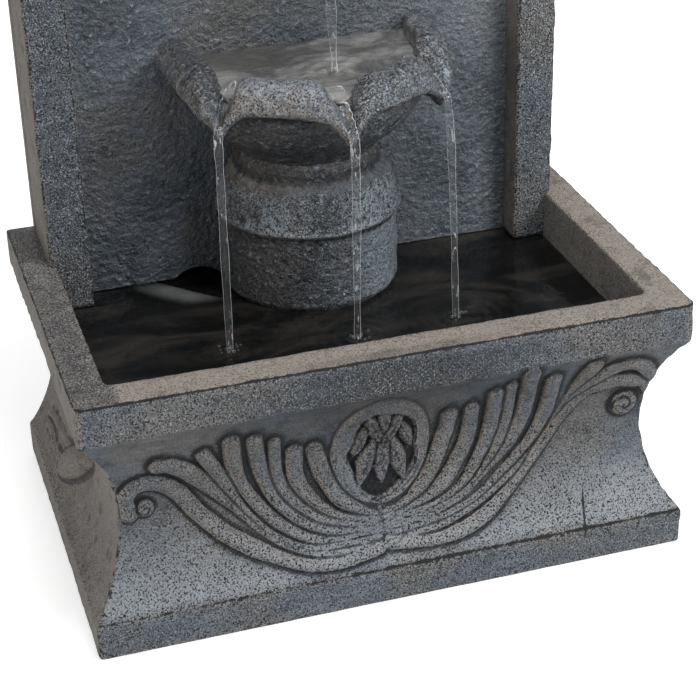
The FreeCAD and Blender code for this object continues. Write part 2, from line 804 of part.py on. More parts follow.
def spout():
    """The cast spout above the bowl: a trough on a curved bracket."""
    half = spout_width / 2
    corners = [
        Vector(-half, panel_y, spout_top),
        Vector(-half, spout_nose_y, spout_top),
        Vector(-half, spout_nose_y, spout_top - spout_lip_height),
        Vector(-half, panel_y, spout_top - spout_bracket_drop),
    ]
    sag = Vector(-half, panel_y - spout_reach * 0.42, spout_top - spout_lip_height - spout_bracket_drop * 0.17)
    edges = [
        Part.LineSegment(corners[0], corners[1]).toShape(),
        Part.LineSegment(corners[1], corners[2]).toShape(),
        Part.Arc(corners[2], sag, corners[3]).toShape(),
        Part.LineSegment(corners[3], corners[0]).toShape(),
    ]
    shape = Part.Face(Part.Wire(edges)).extrude(Vector(spout_width, 0, 0))
    nose_edges = [edge for edge in shape.Edges if edge.BoundBox.YMax < spout_nose_y + 0.01]
    shape = shape.makeFillet(spout_edge_radius, nose_edges)
    channel_length = spout_reach - spout_back_wall
    round_base = (0, spout_nose_y - 1, channel_floor + spout_channel_radius)
    channel = bar(spout_channel_radius, channel_length + 1, round_base, (0, 1, 0))
    above = box_between(
        (-spout_channel_radius, spout_nose_y - 1, channel_floor + spout_channel_radius),
        (spout_channel_radius, spout_nose_y + channel_length, spout_top + 1),
    )
    hole = bar(bushing_radius, spout_reach, (0, spout_nose_y + channel_length - 1, bushing_z), (0, 1, 0))
    return shape.cut(channel).cut(above).cut(hole)


def barb(base, direction):
    """A hose barb: a core with sloping rings, each steep on the side away from the hose's end."""
    ring_length = barb_length / barb_rings
    start = Vector(*base)
    step = Vector(*direction)
    shape = Part.makeCylinder(barb_core_radius, barb_length, start, step)
    for index in range(barb_rings):
        ring_base = start + step * (ring_length * index)
        shape = shape.fuse(Part.makeCone(barb_radius, barb_core_radius, ring_length * 0.8, ring_base, step))
    return shape


def spout_bushing():
    """The flanged bushing that carries the water through the panel into the trough."""
    front = spout_nose_y + spout_reach - spout_back_wall
    length = panel_back_y + washer_thickness + nut_thickness + bushing_end - front
    shape = bar(bushing_radius, length, (0, front, bushing_z), (0, 1, 0))
    flange_base = (0, front - bushing_flange_thickness, bushing_z)
    shape = shape.fuse(bar(bushing_flange_radius, bushing_flange_thickness, flange_base, (0, 1, 0)))
    return shape.cut(bar(barb_radius, 2 * length, (0, front - length / 2, bushing_z), (0, 1, 0)))


def spout_washer():
    """The rubber washer behind the panel."""
    return tube(washer_radius, bushing_radius, washer_thickness, (0, panel_back_y, bushing_z), (0, 1, 0))


def spout_nut():
    """The hexagonal nut that holds the bushing."""
    start_y = panel_back_y + washer_thickness
    corner = nut_half_flats / math.cos(math.pi / 6)
    points = []
    for index in range(7):
        turn = math.pi / 3 * index
        points.append(Vector(corner * math.cos(turn), start_y, bushing_z + corner * math.sin(turn)))
    hexagon = Part.Face(Part.makePolygon(points)).extrude(Vector(0, nut_thickness, 0))
    return hexagon.cut(bar(bushing_radius, nut_thickness, (0, start_y, bushing_z), (0, 1, 0)))


def spout_elbow():
    """The elbow that joins the upright hose to the bushing."""
    bushing_rear = panel_back_y + washer_thickness + nut_thickness + bushing_end
    spigot_front = bushing_rear - 2 * nut_thickness
    spigot = bar(barb_radius, chamber_middle_y - spigot_front, (0, spigot_front, bushing_z), (0, 1, 0))
    shoulder = bar(elbow_radius, chamber_middle_y - bushing_rear, (0, bushing_rear, bushing_z), (0, 1, 0))
    corner = Part.makeSphere(elbow_radius, Vector(0, chamber_middle_y, bushing_z))
    down = bar(elbow_radius, elbow_radius, (0, chamber_middle_y, elbow_barb_top), (0, 0, 1))
    end = barb((0, chamber_middle_y, elbow_barb_bottom), (0, 0, 1))
    shape = spigot.fuse([shoulder, corner, down, end])
    across = bar(barb_bore_radius, chamber_middle_y - spigot_front, (0, spigot_front, bushing_z), (0, 1, 0))
    upright = bar(barb_bore_radius, bushing_z - elbow_barb_bottom, (0, chamber_middle_y, elbow_barb_bottom), (0, 0, 1))
    bend = Part.makeSphere(barb_bore_radius, Vector(0, chamber_middle_y, bushing_z))
    return shape.cut(across.fuse([upright, bend]))


def hose_path():
    """The hose's line: straight runs joined by tangent arcs. Gives the wire and the arcs' radii."""
    edges = []
    radii = []
    start = hose_route[0]
    for before, corner, after in zip(hose_route, hose_route[1:], hose_route[2:]):
        back = before - corner
        ahead = after - corner
        reach = 0.45 * min(back.Length, ahead.Length)
        half_turn = (math.pi - back.getAngle(ahead)) / 2
        radius = reach / math.tan(half_turn)
        back.normalize()
        ahead.normalize()
        inward = back + ahead
        inward.normalize()
        arc_start = corner + back * reach
        arc_end = corner + ahead * reach
        middle = corner + inward * (radius / math.cos(half_turn) - radius)
        edges.append(Part.LineSegment(start, arc_start).toShape())
        edges.append(Part.Arc(arc_start, middle, arc_end).toShape())
        radii.append(radius)
        start = arc_end
    edges.append(Part.LineSegment(start, hose_route[-1]).toShape())
    return Part.Wire(edges), radii


def hose():
    """The hose from the pump's nozzle to the spout's elbow, with its bore."""
    path, radii = hose_path()
    up = Vector(0, 0, 1)
    tubes = []
    for radius in (hose_radius, hose_bore_radius):
        ring = Part.Wire(Part.Circle(hose_route[0], up, radius).toShape())
        tubes.append(path.makePipeShell([ring], True, False))
    shape = tubes[0].cut(tubes[1])
    expected = math.pi * (hose_radius ** 2 - hose_bore_radius ** 2) * path.Length
    print("hose arc radii", [round(radius) for radius in radii])
    print("hose length", round(path.Length, 1), "volume over section times length", round(shape.Volume / expected, 4))
    return shape


def hose_clamps():
    """The two spring clamps that hold the hose on its barbs."""
    solids = []
    for x, y, z in (
        (nozzle_x, nozzle_y, hose_start_z + clamp_width * 0.8),
        (0.0, chamber_middle_y, hose_end_z - clamp_width * 1.8),
    ):
        outer = hose_radius + clamp_wall
        band = bar(outer, clamp_width, (x, y, z), (0, 0, 1))
        ear = box_between(
            (x - clamp_ear_width / 2, y - outer - clamp_ear_height, z), (x + clamp_ear_width / 2, y, z + clamp_width)
        )
        whole = band.fuse(ear)
        solids.append(whole.cut(bar(hose_radius, clamp_width, (x, y, z), (0, 0, 1))))
    return Part.makeCompound(solids)


def hose_clips():
    """The saddles that hold the hose on the panel's back, each square to its straight run."""
    solids = []
    for run in clip_runs:
        start = hose_route[run]
        along = hose_route[run + 1] - start
        middle = start + along * 0.5
        along.normalize()
        base = middle - along * (clip_length / 2)
        outer = hose_radius + clip_wall
        ring = Part.makeCylinder(outer, clip_length, base, along)
        across = along.cross(Vector(0, 1, 0))
        post = slab_along(base, along, across, outer, panel_back_y - middle.y, 0.0)
        foot = slab_along(
            base, along, across, clip_foot_width / 2, panel_back_y - middle.y, panel_back_y - middle.y + clip_foot_thickness
        )
        saddle = ring.fuse([post, foot])
        solids.append(saddle.cut(Part.makeCylinder(hose_radius, clip_length, base, along)))
    return Part.makeCompound(solids)


def slab_along(base, along, across, half_width, low_y, high_y):
    """A block of a clip: its length along the hose, its width across it, its depth between two offsets in y."""
    corners = [
        base - across * half_width + Vector(0, low_y, 0),
        base + across * half_width + Vector(0, low_y, 0),
        base + across * half_width + Vector(0, high_y, 0),
        base - across * half_width + Vector(0, high_y, 0),
    ]
    outline = Part.makePolygon(corners + corners[:1])
    return Part.Face(outline).extrude(along * clip_length)


def rear_cover():
    """The screwed cover over the opening at the back, with a finger pull."""
    low_y = back_y - cover_thickness
    top = cover_bottom + cover_height
    plate = rounded_plate(cover_width / 2, cover_bottom, top, low_y, back_y, cover_corner_radius - body_gap)
    pull_bottom = top - 2 * screw_inset - 2 * finger_pull_height
    pull = rounded_plate(
        finger_pull_width / 2,
        pull_bottom,
        pull_bottom + finger_pull_height,
        back_y - finger_pull_depth,
        back_y + 1,
        finger_pull_height / 2 - 1,
    )
    plate = plate.cut(pull)
    for x, z in screw_places():
        plate = plate.cut(bar(screw_radius, cover_thickness, (x, low_y, z), (0, 1, 0)))
        head_base = (x, back_y - screw_head_height, z)
        plate = plate.cut(bar(screw_head_radius, screw_head_height, head_base, (0, 1, 0)))
    return plate


def cover_screws():
    """The cover's four screws, with slotted pan heads."""
    solids = []
    for x, z in screw_places():
        seat_y = back_y - screw_head_height
        head = bar(screw_head_radius, screw_head_height, (x, seat_y, z), (0, 1, 0))
        shank = bar(screw_radius, screw_length, (x, seat_y - screw_length, z), (0, 1, 0))
        slot = box_between(
            (x - screw_head_radius, back_y - screw_head_height / 2, z - screw_radius / 4),
            (x + screw_head_radius, back_y + 1, z + screw_radius / 4),
        )
        solids.append(head.fuse(shank).cut(slot))
    return Part.makeCompound(solids)


def cover_inserts():
    """The brass sleeves cast into the tower that take the cover's screws."""
    solids = []
    for x, z in screw_places():
        base = (x, cover_seat_y - insert_length, z)
        solids.append(tube(insert_radius, screw_radius + body_gap, insert_length, base, (0, 1, 0)))
    return Part.makeCompound(solids)


def drain_plug():
    """The rubber plug in the basin's drain hole."""
    shank_length = basin_back_thickness - drain_recess_depth + body_gap
    shank_radius = drain_radius - body_gap
    base = Vector(drain_x, basin_back_y, drain_height)
    shank = Part.makeCone(shank_radius - plug_taper, shank_radius, shank_length, base, Vector(0, 1, 0))
    flange_base = (drain_x, basin_back_y + shank_length, drain_height)
    flange = bar(drain_recess_radius - 2 * body_gap, plug_flange_thickness, flange_base, (0, 1, 0))
    dimple_base = (drain_x, basin_back_y + shank_length + plug_flange_thickness / 2, drain_height)
    dimple = bar(drain_radius - plug_taper, plug_flange_thickness, dimple_base, (0, 1, 0))
    tab = box_between(
        (drain_x - drain_radius, dimple_base[1] - 1, drain_height - plug_taper),
        (drain_x + drain_radius, basin_back_y + shank_length + plug_flange_thickness, drain_height + plug_taper),
    )
    return shank.fuse(flange.cut(dimple)).fuse(tab)


def cord_grommet():
    """The rubber grommet through which the pump's lead leaves the back."""
    flange_y = back_y - grommet_flange_thickness
    inner_flange_y = tower_back_y - grommet_flange_thickness
    body_length = flange_y - tower_back_y
    shape = bar(grommet_body_radius, body_length, (cord_hole_x, tower_back_y, cord_hole_height), (0, 1, 0))
    outer_base = (cord_hole_x, flange_y, cord_hole_height)
    inner_base = (cord_hole_x, inner_flange_y, cord_hole_height)
    for base in (outer_base, inner_base):
        shape = shape.fuse(bar(grommet_flange_radius, grommet_flange_thickness, base, (0, 1, 0)))
    bore_length = back_y - inner_flange_y
    return shape.cut(bar(grommet_bore_radius, bore_length, inner_base, (0, 1, 0)))


def square_block(half, low_y, high_y):
    """A square block of the pump about its axis."""
    return box_between(
        (pump_x - half, low_y, pump_axis_z - half), (pump_x + half, high_y, pump_axis_z + half)
    )


def rounded_block(half, low_y, high_y, radius):
    """A square block about the pump's axis with its long edges rounded."""
    block = square_block(half, low_y, high_y)
    long_edges = [edge for edge in block.Edges if edge.BoundBox.YLength > (high_y - low_y) / 2]
    return block.makeFillet(radius, long_edges)


def pump_bar(radius, low_y, high_y):
    """A round bar on the pump's axis."""
    return bar(radius, high_y - low_y, (pump_x, low_y, pump_axis_z), (0, 1, 0))


def stator_core():
    """The laminated core: two limbs beside the rotor well, joined by a bridge behind it."""
    solid = box_between(
        (pump_x - core_outer_half_width, core_front_y, pump_axis_z - core_half_height),
        (pump_x + core_outer_half_width, bridge_rear_y, pump_axis_z + core_half_height),
    )
    gap = box_between(
        (pump_x - core_inner_half_width, core_front_y, pump_axis_z - core_half_height),
        (pump_x + core_inner_half_width, bridge_front_y, pump_axis_z + core_half_height),
    )
    return solid.cut(gap)


def coil_block():
    """The outside of the coil that is wound on the core's bridge."""
    return box_between(
        (pump_x - core_inner_half_width, bridge_front_y - coil_width, pump_axis_z - core_half_height - coil_width),
        (pump_x + core_inner_half_width, bridge_rear_y + coil_width, pump_axis_z + core_half_height + coil_width),
    )


def stator_coil():
    """The coil on the core's bridge."""
    return coil_block().cut(stator_core())


def pump_housing():
    """The potted motor block with its rotor well, seal groove and the sockets for its feet."""
    shape = rounded_block(pump_half_width, pump_split_y, pump_rear_y, pump_edge_radius)
    flange_rear = pump_split_y + flange_thickness
    shape = shape.fuse(rounded_block(flange_half_width, pump_split_y, flange_rear, pump_edge_radius))
    shape = shape.cut(pump_bar(rotor_well_radius, pump_split_y, well_end_y))
    shape = shape.cut(pump_bar(bush_radius, well_end_y, well_end_y + bush_length))
    groove = pump_bar(seal_radius + seal_section_radius, pump_split_y, pump_split_y + 2 * seal_section_radius)
    groove = groove.cut(
        pump_bar(seal_radius - seal_section_radius, pump_split_y, pump_split_y + 2 * seal_section_radius)
    )
    shape = shape.cut(groove)
    shape = shape.cut(coil_block().fuse(stator_core()))
    for x, y in cup_places():
        shape = shape.cut(bar(cup_stem_radius, cup_stem_length, (x, y, pump_bottom), (0, 0, 1)))
    gland_base = (pump_x, pump_rear_y - 3.0, pump_axis_z + gland_rise)
    return shape.cut(bar(gland_radius, 3.0, gland_base, (0, 1, 0)))


def cup_places():
    """Where the four suction feet stand under the motor, as x and y."""
    middle_y = pump_split_y + motor_length / 2
    return [
        (pump_x + side * cup_half_spread_x, middle_y + end * cup_half_spread_y)
        for side in (-1, 1)
        for end in (-1, 1)
    ]


def suction_cups():
    """The four rubber feet that hold the pump to the basin's floor."""
    solids = []
    for x, y in cup_places():
        base = Vector(x, y, floor_thickness)
        cup = Part.makeCone(cup_radius, cup_neck_radius, cup_height, base)
        hollow = Part.makeCone(cup_radius * 0.8, 0.0, cup_height * 0.5, base)
        stem = bar(cup_stem_radius, cup_stem_length, (x, y, floor_thickness + cup_height), (0, 0, 1))
        solids.append(cup.cut(hollow).fuse(stem))
    return Part.makeCompound(solids)


def rotor_magnet():
    """The ring magnet that turns in the well."""
    solid = pump_bar(magnet_radius, magnet_front_y, magnet_rear_y)
    return solid.cut(pump_bar(shaft_radius + shaft_running_gap, magnet_front_y, magnet_rear_y))


def impeller():
    """The impeller: a disc with curved blades and the hub that carries the magnet."""
    disc_rear = pump_split_y - body_gap
    disc_front = disc_rear - impeller_disc_thickness
    blade_front = disc_front - blade_height
    shape = pump_bar(impeller_radius, disc_front, disc_rear)
    shape = shape.fuse(pump_bar(impeller_hub_radius, blade_front, magnet_front_y))
    sweep = math.radians(35)
    for index in range(blade_count):
        turn = 2 * math.pi * index / blade_count
        shape = shape.fuse(impeller_blade(turn, sweep, blade_front, disc_front))
    return shape.cut(pump_bar(shaft_radius + shaft_running_gap, blade_front, magnet_front_y))


def impeller_blade(turn, sweep, low_y, high_y):
    """One backward-curved blade, an arc band extruded along the axis."""
    def at(radius, angle, side):
        offset = side * blade_thickness / 2 / radius
        spot = angle + offset
        return Vector(pump_x + radius * math.cos(spot), low_y, pump_axis_z + radius * math.sin(spot))

    inner = impeller_hub_radius * 0.8
    middle = (inner + impeller_radius) / 2
    outer = impeller_radius - 0.2
    left = Part.Arc(at(inner, turn, -1), at(middle, turn + sweep * 0.35, -1), at(outer, turn + sweep, -1))
    right = Part.Arc(at(outer, turn + sweep, 1), at(middle, turn + sweep * 0.35, 1), at(inner, turn, 1))
    edges = [
        left.toShape(),
        Part.LineSegment(left.EndPoint, right.StartPoint).toShape(),
        right.toShape(),
        Part.LineSegment(right.EndPoint, left.StartPoint).toShape(),
    ]
    return Part.Face(Part.Wire(edges)).extrude(Vector(0, high_y - low_y, 0))


def impeller_shaft():
    """The ceramic shaft between the two bushes."""
    return pump_bar(shaft_radius, volute_front_y, well_end_y + bush_length)


def shaft_bushes():
    """The rubber bushes that hold the shaft's ends."""
    front = pump_bar(bush_radius, volute_front_y, volute_front_y + bush_length)
    rear = pump_bar(bush_radius, well_end_y, well_end_y + bush_length)
    hole = pump_bar(shaft_radius, volute_front_y, well_end_y + bush_length)
    return Part.makeCompound([front.cut(hole), rear.cut(hole)])


def volute_cover():
    """The impeller chamber: its intake with a three-armed spider, and the barbed outlet on top."""
    shape = rounded_block(flange_half_width, volute_front_y, pump_split_y, pump_edge_radius)
    collar = bar(nozzle_collar_radius, nozzle_collar_height, (nozzle_x, nozzle_y, nozzle_base), (0, 0, 1))
    end = barb((nozzle_x, nozzle_y, hose_start_z + barb_length), (0, 0, -1))
    shape = shape.fuse([collar, end])
    shape = shape.cut(pump_bar(chamber_radius, pump_split_y - chamber_depth, pump_split_y))
    bore_length = hose_start_z + barb_length - pump_axis_z
    shape = shape.cut(bar(barb_bore_radius, bore_length, (nozzle_x, nozzle_y, pump_axis_z), (0, 0, 1)))
    inner_y = volute_front_y + chamber_front_thickness
    intake = pump_bar(intake_radius, volute_front_y, inner_y)
    spider = pump_bar(spider_hub_radius, volute_front_y, inner_y)
    for index in range(spider_arm_count):
        arm = box_between(
            (pump_x, volute_front_y, pump_axis_z - spider_arm_width / 2),
            (pump_x + intake_radius, inner_y, pump_axis_z + spider_arm_width / 2),
        )
        arm.rotate(Vector(pump_x, 0, pump_axis_z), Vector(0, 1, 0), 90 + 360 * index / spider_arm_count)
        spider = spider.fuse(arm)
    shape = shape.cut(intake.cut(spider))
    return shape.cut(pump_bar(bush_radius, volute_front_y, inner_y))


def chamber_seal():
    """The rubber ring between the chamber and the motor block."""
    centre = Vector(pump_x, pump_split_y + seal_section_radius, pump_axis_z)
    return Part.makeTorus(seal_radius, seal_section_radius, centre, Vector(0, 1, 0))


def strainer():
    """The intake strainer: a slotted box with rails for its slider."""
    rear = volute_front_y - body_gap
    front = rear - strainer_depth
    shape = rounded_block(pump_half_width, front, rear, pump_edge_radius)
    inner = rounded_block(pump_half_width - strainer_wall, front + strainer_wall, rear, pump_edge_radius - strainer_wall)
    shape = shape.cut(inner)
    cuts = []
    for index in range(strainer_slot_count):
        x = pump_x + (index - (strainer_slot_count - 1) / 2) * 2 * strainer_slot_width
        cuts.append(
            box_between(
                (x - strainer_slot_width / 2, front - 1, pump_axis_z - strainer_slot_height),
                (x + strainer_slot_width / 2, front + strainer_wall + 1, pump_axis_z),
            )
        )
    for index in range(side_slot_count):
        z = pump_axis_z + (index - (side_slot_count - 1) / 2) * 4 * strainer_slot_width
        cuts.append(
            box_between(
                (pump_x - pump_half_width - 1, front + pump_edge_radius, z - strainer_slot_width / 2),
                (pump_x + pump_half_width + 1, rear - strainer_slot_width, z + strainer_slot_width / 2),
            )
        )
    shape = shape.cut(Part.makeCompound(cuts))
    rail_depth = slider_thickness + 2 * body_gap
    for side in (-1, 1):
        near = slider_width / 2 + body_gap
        web = slider_rail_width
        lip = slider_rail_width
        low_x, high_x = sorted((pump_x + side * near, pump_x + side * (near + web)))
        web_block = box_between(
            (low_x, front - rail_depth - lip, pump_axis_z - slider_travel),
            (high_x, front, pump_axis_z + slider_height + body_gap),
        )
        low_x, high_x = sorted((pump_x + side * (near - slider_rail_lip), pump_x + side * (near + web)))
        lip_block = box_between(
            (low_x, front - rail_depth - lip, pump_axis_z - slider_travel),
            (high_x, front - rail_depth, pump_axis_z + slider_height + body_gap),
        )
        shape = shape.fuse([web_block, lip_block])
    return shape


def flow_slider():
    """The plate that slides down over the strainer's slots to throttle the pump."""
    front = volute_front_y - body_gap - strainer_depth
    rear_face = front - body_gap
    plate = box_between(
        (pump_x - slider_width / 2, rear_face - slider_thickness, pump_axis_z + body_gap),
        (pump_x + slider_width / 2, rear_face, pump_axis_z + body_gap + slider_height),
    )
    nub_half = slider_width / 2 - slider_rail_lip - 2.0
    nub = box_between(
        (pump_x - nub_half, rear_face - slider_thickness - slider_nub_height, pump_axis_z + slider_height * 0.6),
        (pump_x + nub_half, rear_face - slider_thickness, pump_axis_z + slider_height * 0.75),
    )
    return plate.fuse(nub)


def cord_gland():
    """The gland at the back of the motor block where its lead enters."""
    base_y = pump_rear_y - 3.0
    height = pump_axis_z + gland_rise
    shape = bar(gland_radius, gland_length, (pump_x, base_y, height), (0, 1, 0))
    groove_count = 3
    for index in range(groove_count):
        groove_y = pump_rear_y + 2.0 + index * 3.0
        groove = tube(gland_radius + 1, gland_radius - 1, 1.2, (pump_x, groove_y, height), (0, 1, 0))
        shape = shape.cut(groove)
    return shape.cut(bar(gland_bore_radius, gland_length, (pump_x, pump_rear_y, height), (0, 1, 0)))


nodes = {
    "basin": basin,
    "tower": tower,
    "tower_panel": tower_panel,
    "tower_back": tower_back,
    "tower_coping": tower_coping,
    "urn": urn,
    "bowl": bowl,
    "spout": spout,
    "spout_bushing": spout_bushing,
    "spout_washer": spout_washer,
    "spout_nut": spout_nut,
    "spout_elbow": spout_elbow,
    "hose": hose,
    "hose_clamps": hose_clamps,
    "hose_clips": hose_clips,
    "rear_cover": rear_cover,
    "cover_screws": cover_screws,
    "cover_inserts": cover_inserts,
    "drain_plug": drain_plug,
    "cord_grommet": cord_grommet,
    "pump_housing": pump_housing,
    "stator_core": stator_core,
    "stator_coil": stator_coil,
    "suction_cups": suction_cups,
    "rotor_magnet": rotor_magnet,
    "impeller": impeller,
    "impeller_shaft": impeller_shaft,
    "shaft_bushes": shaft_bushes,
    "volute_cover": volute_cover,
    "chamber_seal": chamber_seal,
    "strainer": strainer,
    "flow_slider": flow_slider,
    "cord_gland": cord_gland,
}


def main():
    """Builds every piece and writes it to its own file."""
    os.makedirs("parts", exist_ok=True)
    for name, make in nodes.items():
        shape = make()
        shape.exportStep("parts/" + name + ".step")


main()
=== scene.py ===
import json
import math
import bpy
import numpy as np
from mathutils import Matrix, Vector

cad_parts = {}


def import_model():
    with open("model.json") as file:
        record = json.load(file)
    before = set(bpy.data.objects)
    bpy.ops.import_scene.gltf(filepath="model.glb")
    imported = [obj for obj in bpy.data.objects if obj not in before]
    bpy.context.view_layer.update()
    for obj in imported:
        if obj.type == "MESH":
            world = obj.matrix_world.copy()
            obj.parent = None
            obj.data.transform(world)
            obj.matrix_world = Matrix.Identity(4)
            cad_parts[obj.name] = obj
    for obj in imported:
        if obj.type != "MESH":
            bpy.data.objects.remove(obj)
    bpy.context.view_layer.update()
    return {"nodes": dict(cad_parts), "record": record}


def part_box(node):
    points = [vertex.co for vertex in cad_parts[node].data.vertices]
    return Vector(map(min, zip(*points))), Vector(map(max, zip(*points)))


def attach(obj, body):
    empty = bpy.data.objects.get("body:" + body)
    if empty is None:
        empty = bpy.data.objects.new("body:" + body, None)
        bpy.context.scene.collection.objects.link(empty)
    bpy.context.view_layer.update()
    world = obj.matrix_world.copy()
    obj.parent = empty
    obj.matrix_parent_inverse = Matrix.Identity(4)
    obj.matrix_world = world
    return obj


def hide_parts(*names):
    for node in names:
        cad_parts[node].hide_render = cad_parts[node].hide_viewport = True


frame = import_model()
MM = 0.001

# Sizes of the castings in metres, taken from the frame where it gives them
basin_low, basin_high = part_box("basin")
tower_low, tower_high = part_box("tower")
half_width = basin_high.x
front_y = basin_low.y
back_y = basin_high.y
rim_top = basin_high.z
rim_underside = rim_top - 36 * MM
rim_width = 32 * MM
front_rim_extra = 2 * MM
back_rim_width = 16 * MM
plinth_top = 37 * MM
floor_top = 24 * MM
cove_radius = 142 * MM
inner_cove_radius = 158 * MM
cove_height = 121.5 * MM
cove_axis = 111 * MM
panel_y = 112.5 * MM
frame_half_width = tower_high.x
frame_front = tower_low.y
frame_back = tower_high.y
frame_foot = 201.5 * MM
arch_centre_z = 471.4 * MM
arch_radius = 362.6 * MM
pilaster_width = 37 * MM
frame_shell = 16 * MM
water_level = 200 * MM
bowl_water_level = 419 * MM


# Shader nodes

class Value:
    """A shader socket; arithmetic on it adds Math nodes."""

    def __init__(self, paint, socket):
        self.paint = paint
        self.socket = socket

    def math(self, operation, other):
        node = self.paint.tree.nodes.new("ShaderNodeMath")
        node.operation = operation
        self.paint.feed(node.inputs[0], self)
        self.paint.feed(node.inputs[1], other)
        return Value(self.paint, node.outputs[0])

    def __add__(self, other):
        return self.math("ADD", other)

    __radd__ = __add__

    def __mul__(self, other):
        return self.math("MULTIPLY", other)

    __rmul__ = __mul__

    def __sub__(self, other):
        return self.math("SUBTRACT", other)

    def __rsub__(self, other):
        return (self * -1.0) + other

    def __neg__(self):
        return self * -1.0

    def band(self, low, high):
        """0 below low, 1 above high, smooth between; falls instead where high is below low."""
        node = self.paint.tree.nodes.new("ShaderNodeMapRange")
        node.interpolation_type = "SMOOTHSTEP"
        rising = high > low
        node.inputs["From Min"].default_value = min(low, high)
        node.inputs["From Max"].default_value = max(low, high)
        node.inputs["To Min"].default_value = 0.0 if rising else 1.0
        node.inputs["To Max"].default_value = 1.0 if rising else 0.0
        self.paint.feed(node.inputs["Value"], self)
        return Value(self.paint, node.outputs["Result"])


class Paint:
    """A material under construction: its node tree, and the nodes that finishes share."""

    def __init__(self, name):
        self.material = bpy.data.materials.new(name)
        self.material.use_nodes = True
        self.tree = self.material.node_tree
        self.shader = self.tree.nodes["Principled BSDF"]
        self.place = self.node("ShaderNodeTexCoord")["Object"]

    def feed(self, socket, value):
        if isinstance(value, Value):
            self.tree.links.new(value.socket, socket)
        elif isinstance(value, tuple) and socket.type == "RGBA":
            socket.default_value = (*value, 1.0)
        else:
            socket.default_value = value

    def node(self, kind, settings=None, **inputs):
        """Adds a node: settings first, then values or links of its sockets by name."""
        node = self.tree.nodes.new(kind)
        for name, value in (settings or {}).items():
            setattr(node, name, value)
        for name, value in inputs.items():
            self.feed(node.inputs[name.replace("_", " ")], value)
        return {out.name: Value(self, out) for out in node.outputs if out.enabled}

    def stretched(self, x, y, z):
        """Object coordinates, scaled per axis, so that a pattern runs along the axis scaled least."""
        return self.node("ShaderNodeMapping", Vector=self.place, Scale=(x, y, z))["Vector"]

    def noise(self, scale, detail, rough=0.5, place=None, distortion=0.0):
        made = self.node("ShaderNodeTexNoise", Vector=place or self.place, Scale=scale, Detail=detail,
                         Roughness=rough, Distortion=distortion)
        return made["Fac"] if "Fac" in made else made["Factor"]

    def mix(self, share, first, second):
        """Colour mixed from first to second by share."""
        node = self.tree.nodes.new("ShaderNodeMix")
        node.data_type = "RGBA"
        self.feed(node.inputs[0], share)
        self.feed(node.inputs[6], first)
        self.feed(node.inputs[7], second)
        return Value(self, node.outputs[2])

    def attribute(self, name):
        return self.node("ShaderNodeAttribute", {"attribute_name": name})["Fac"]

    def bump(self, height, strength, distance):
        return self.node("ShaderNodeBump", Height=height, Strength=strength, Distance=distance)["Normal"]

    def finish(self, **inputs):
        for name, value in inputs.items():
            self.feed(self.shader.inputs[name.replace("_", " ")], value)
        return self.material


# Finishes

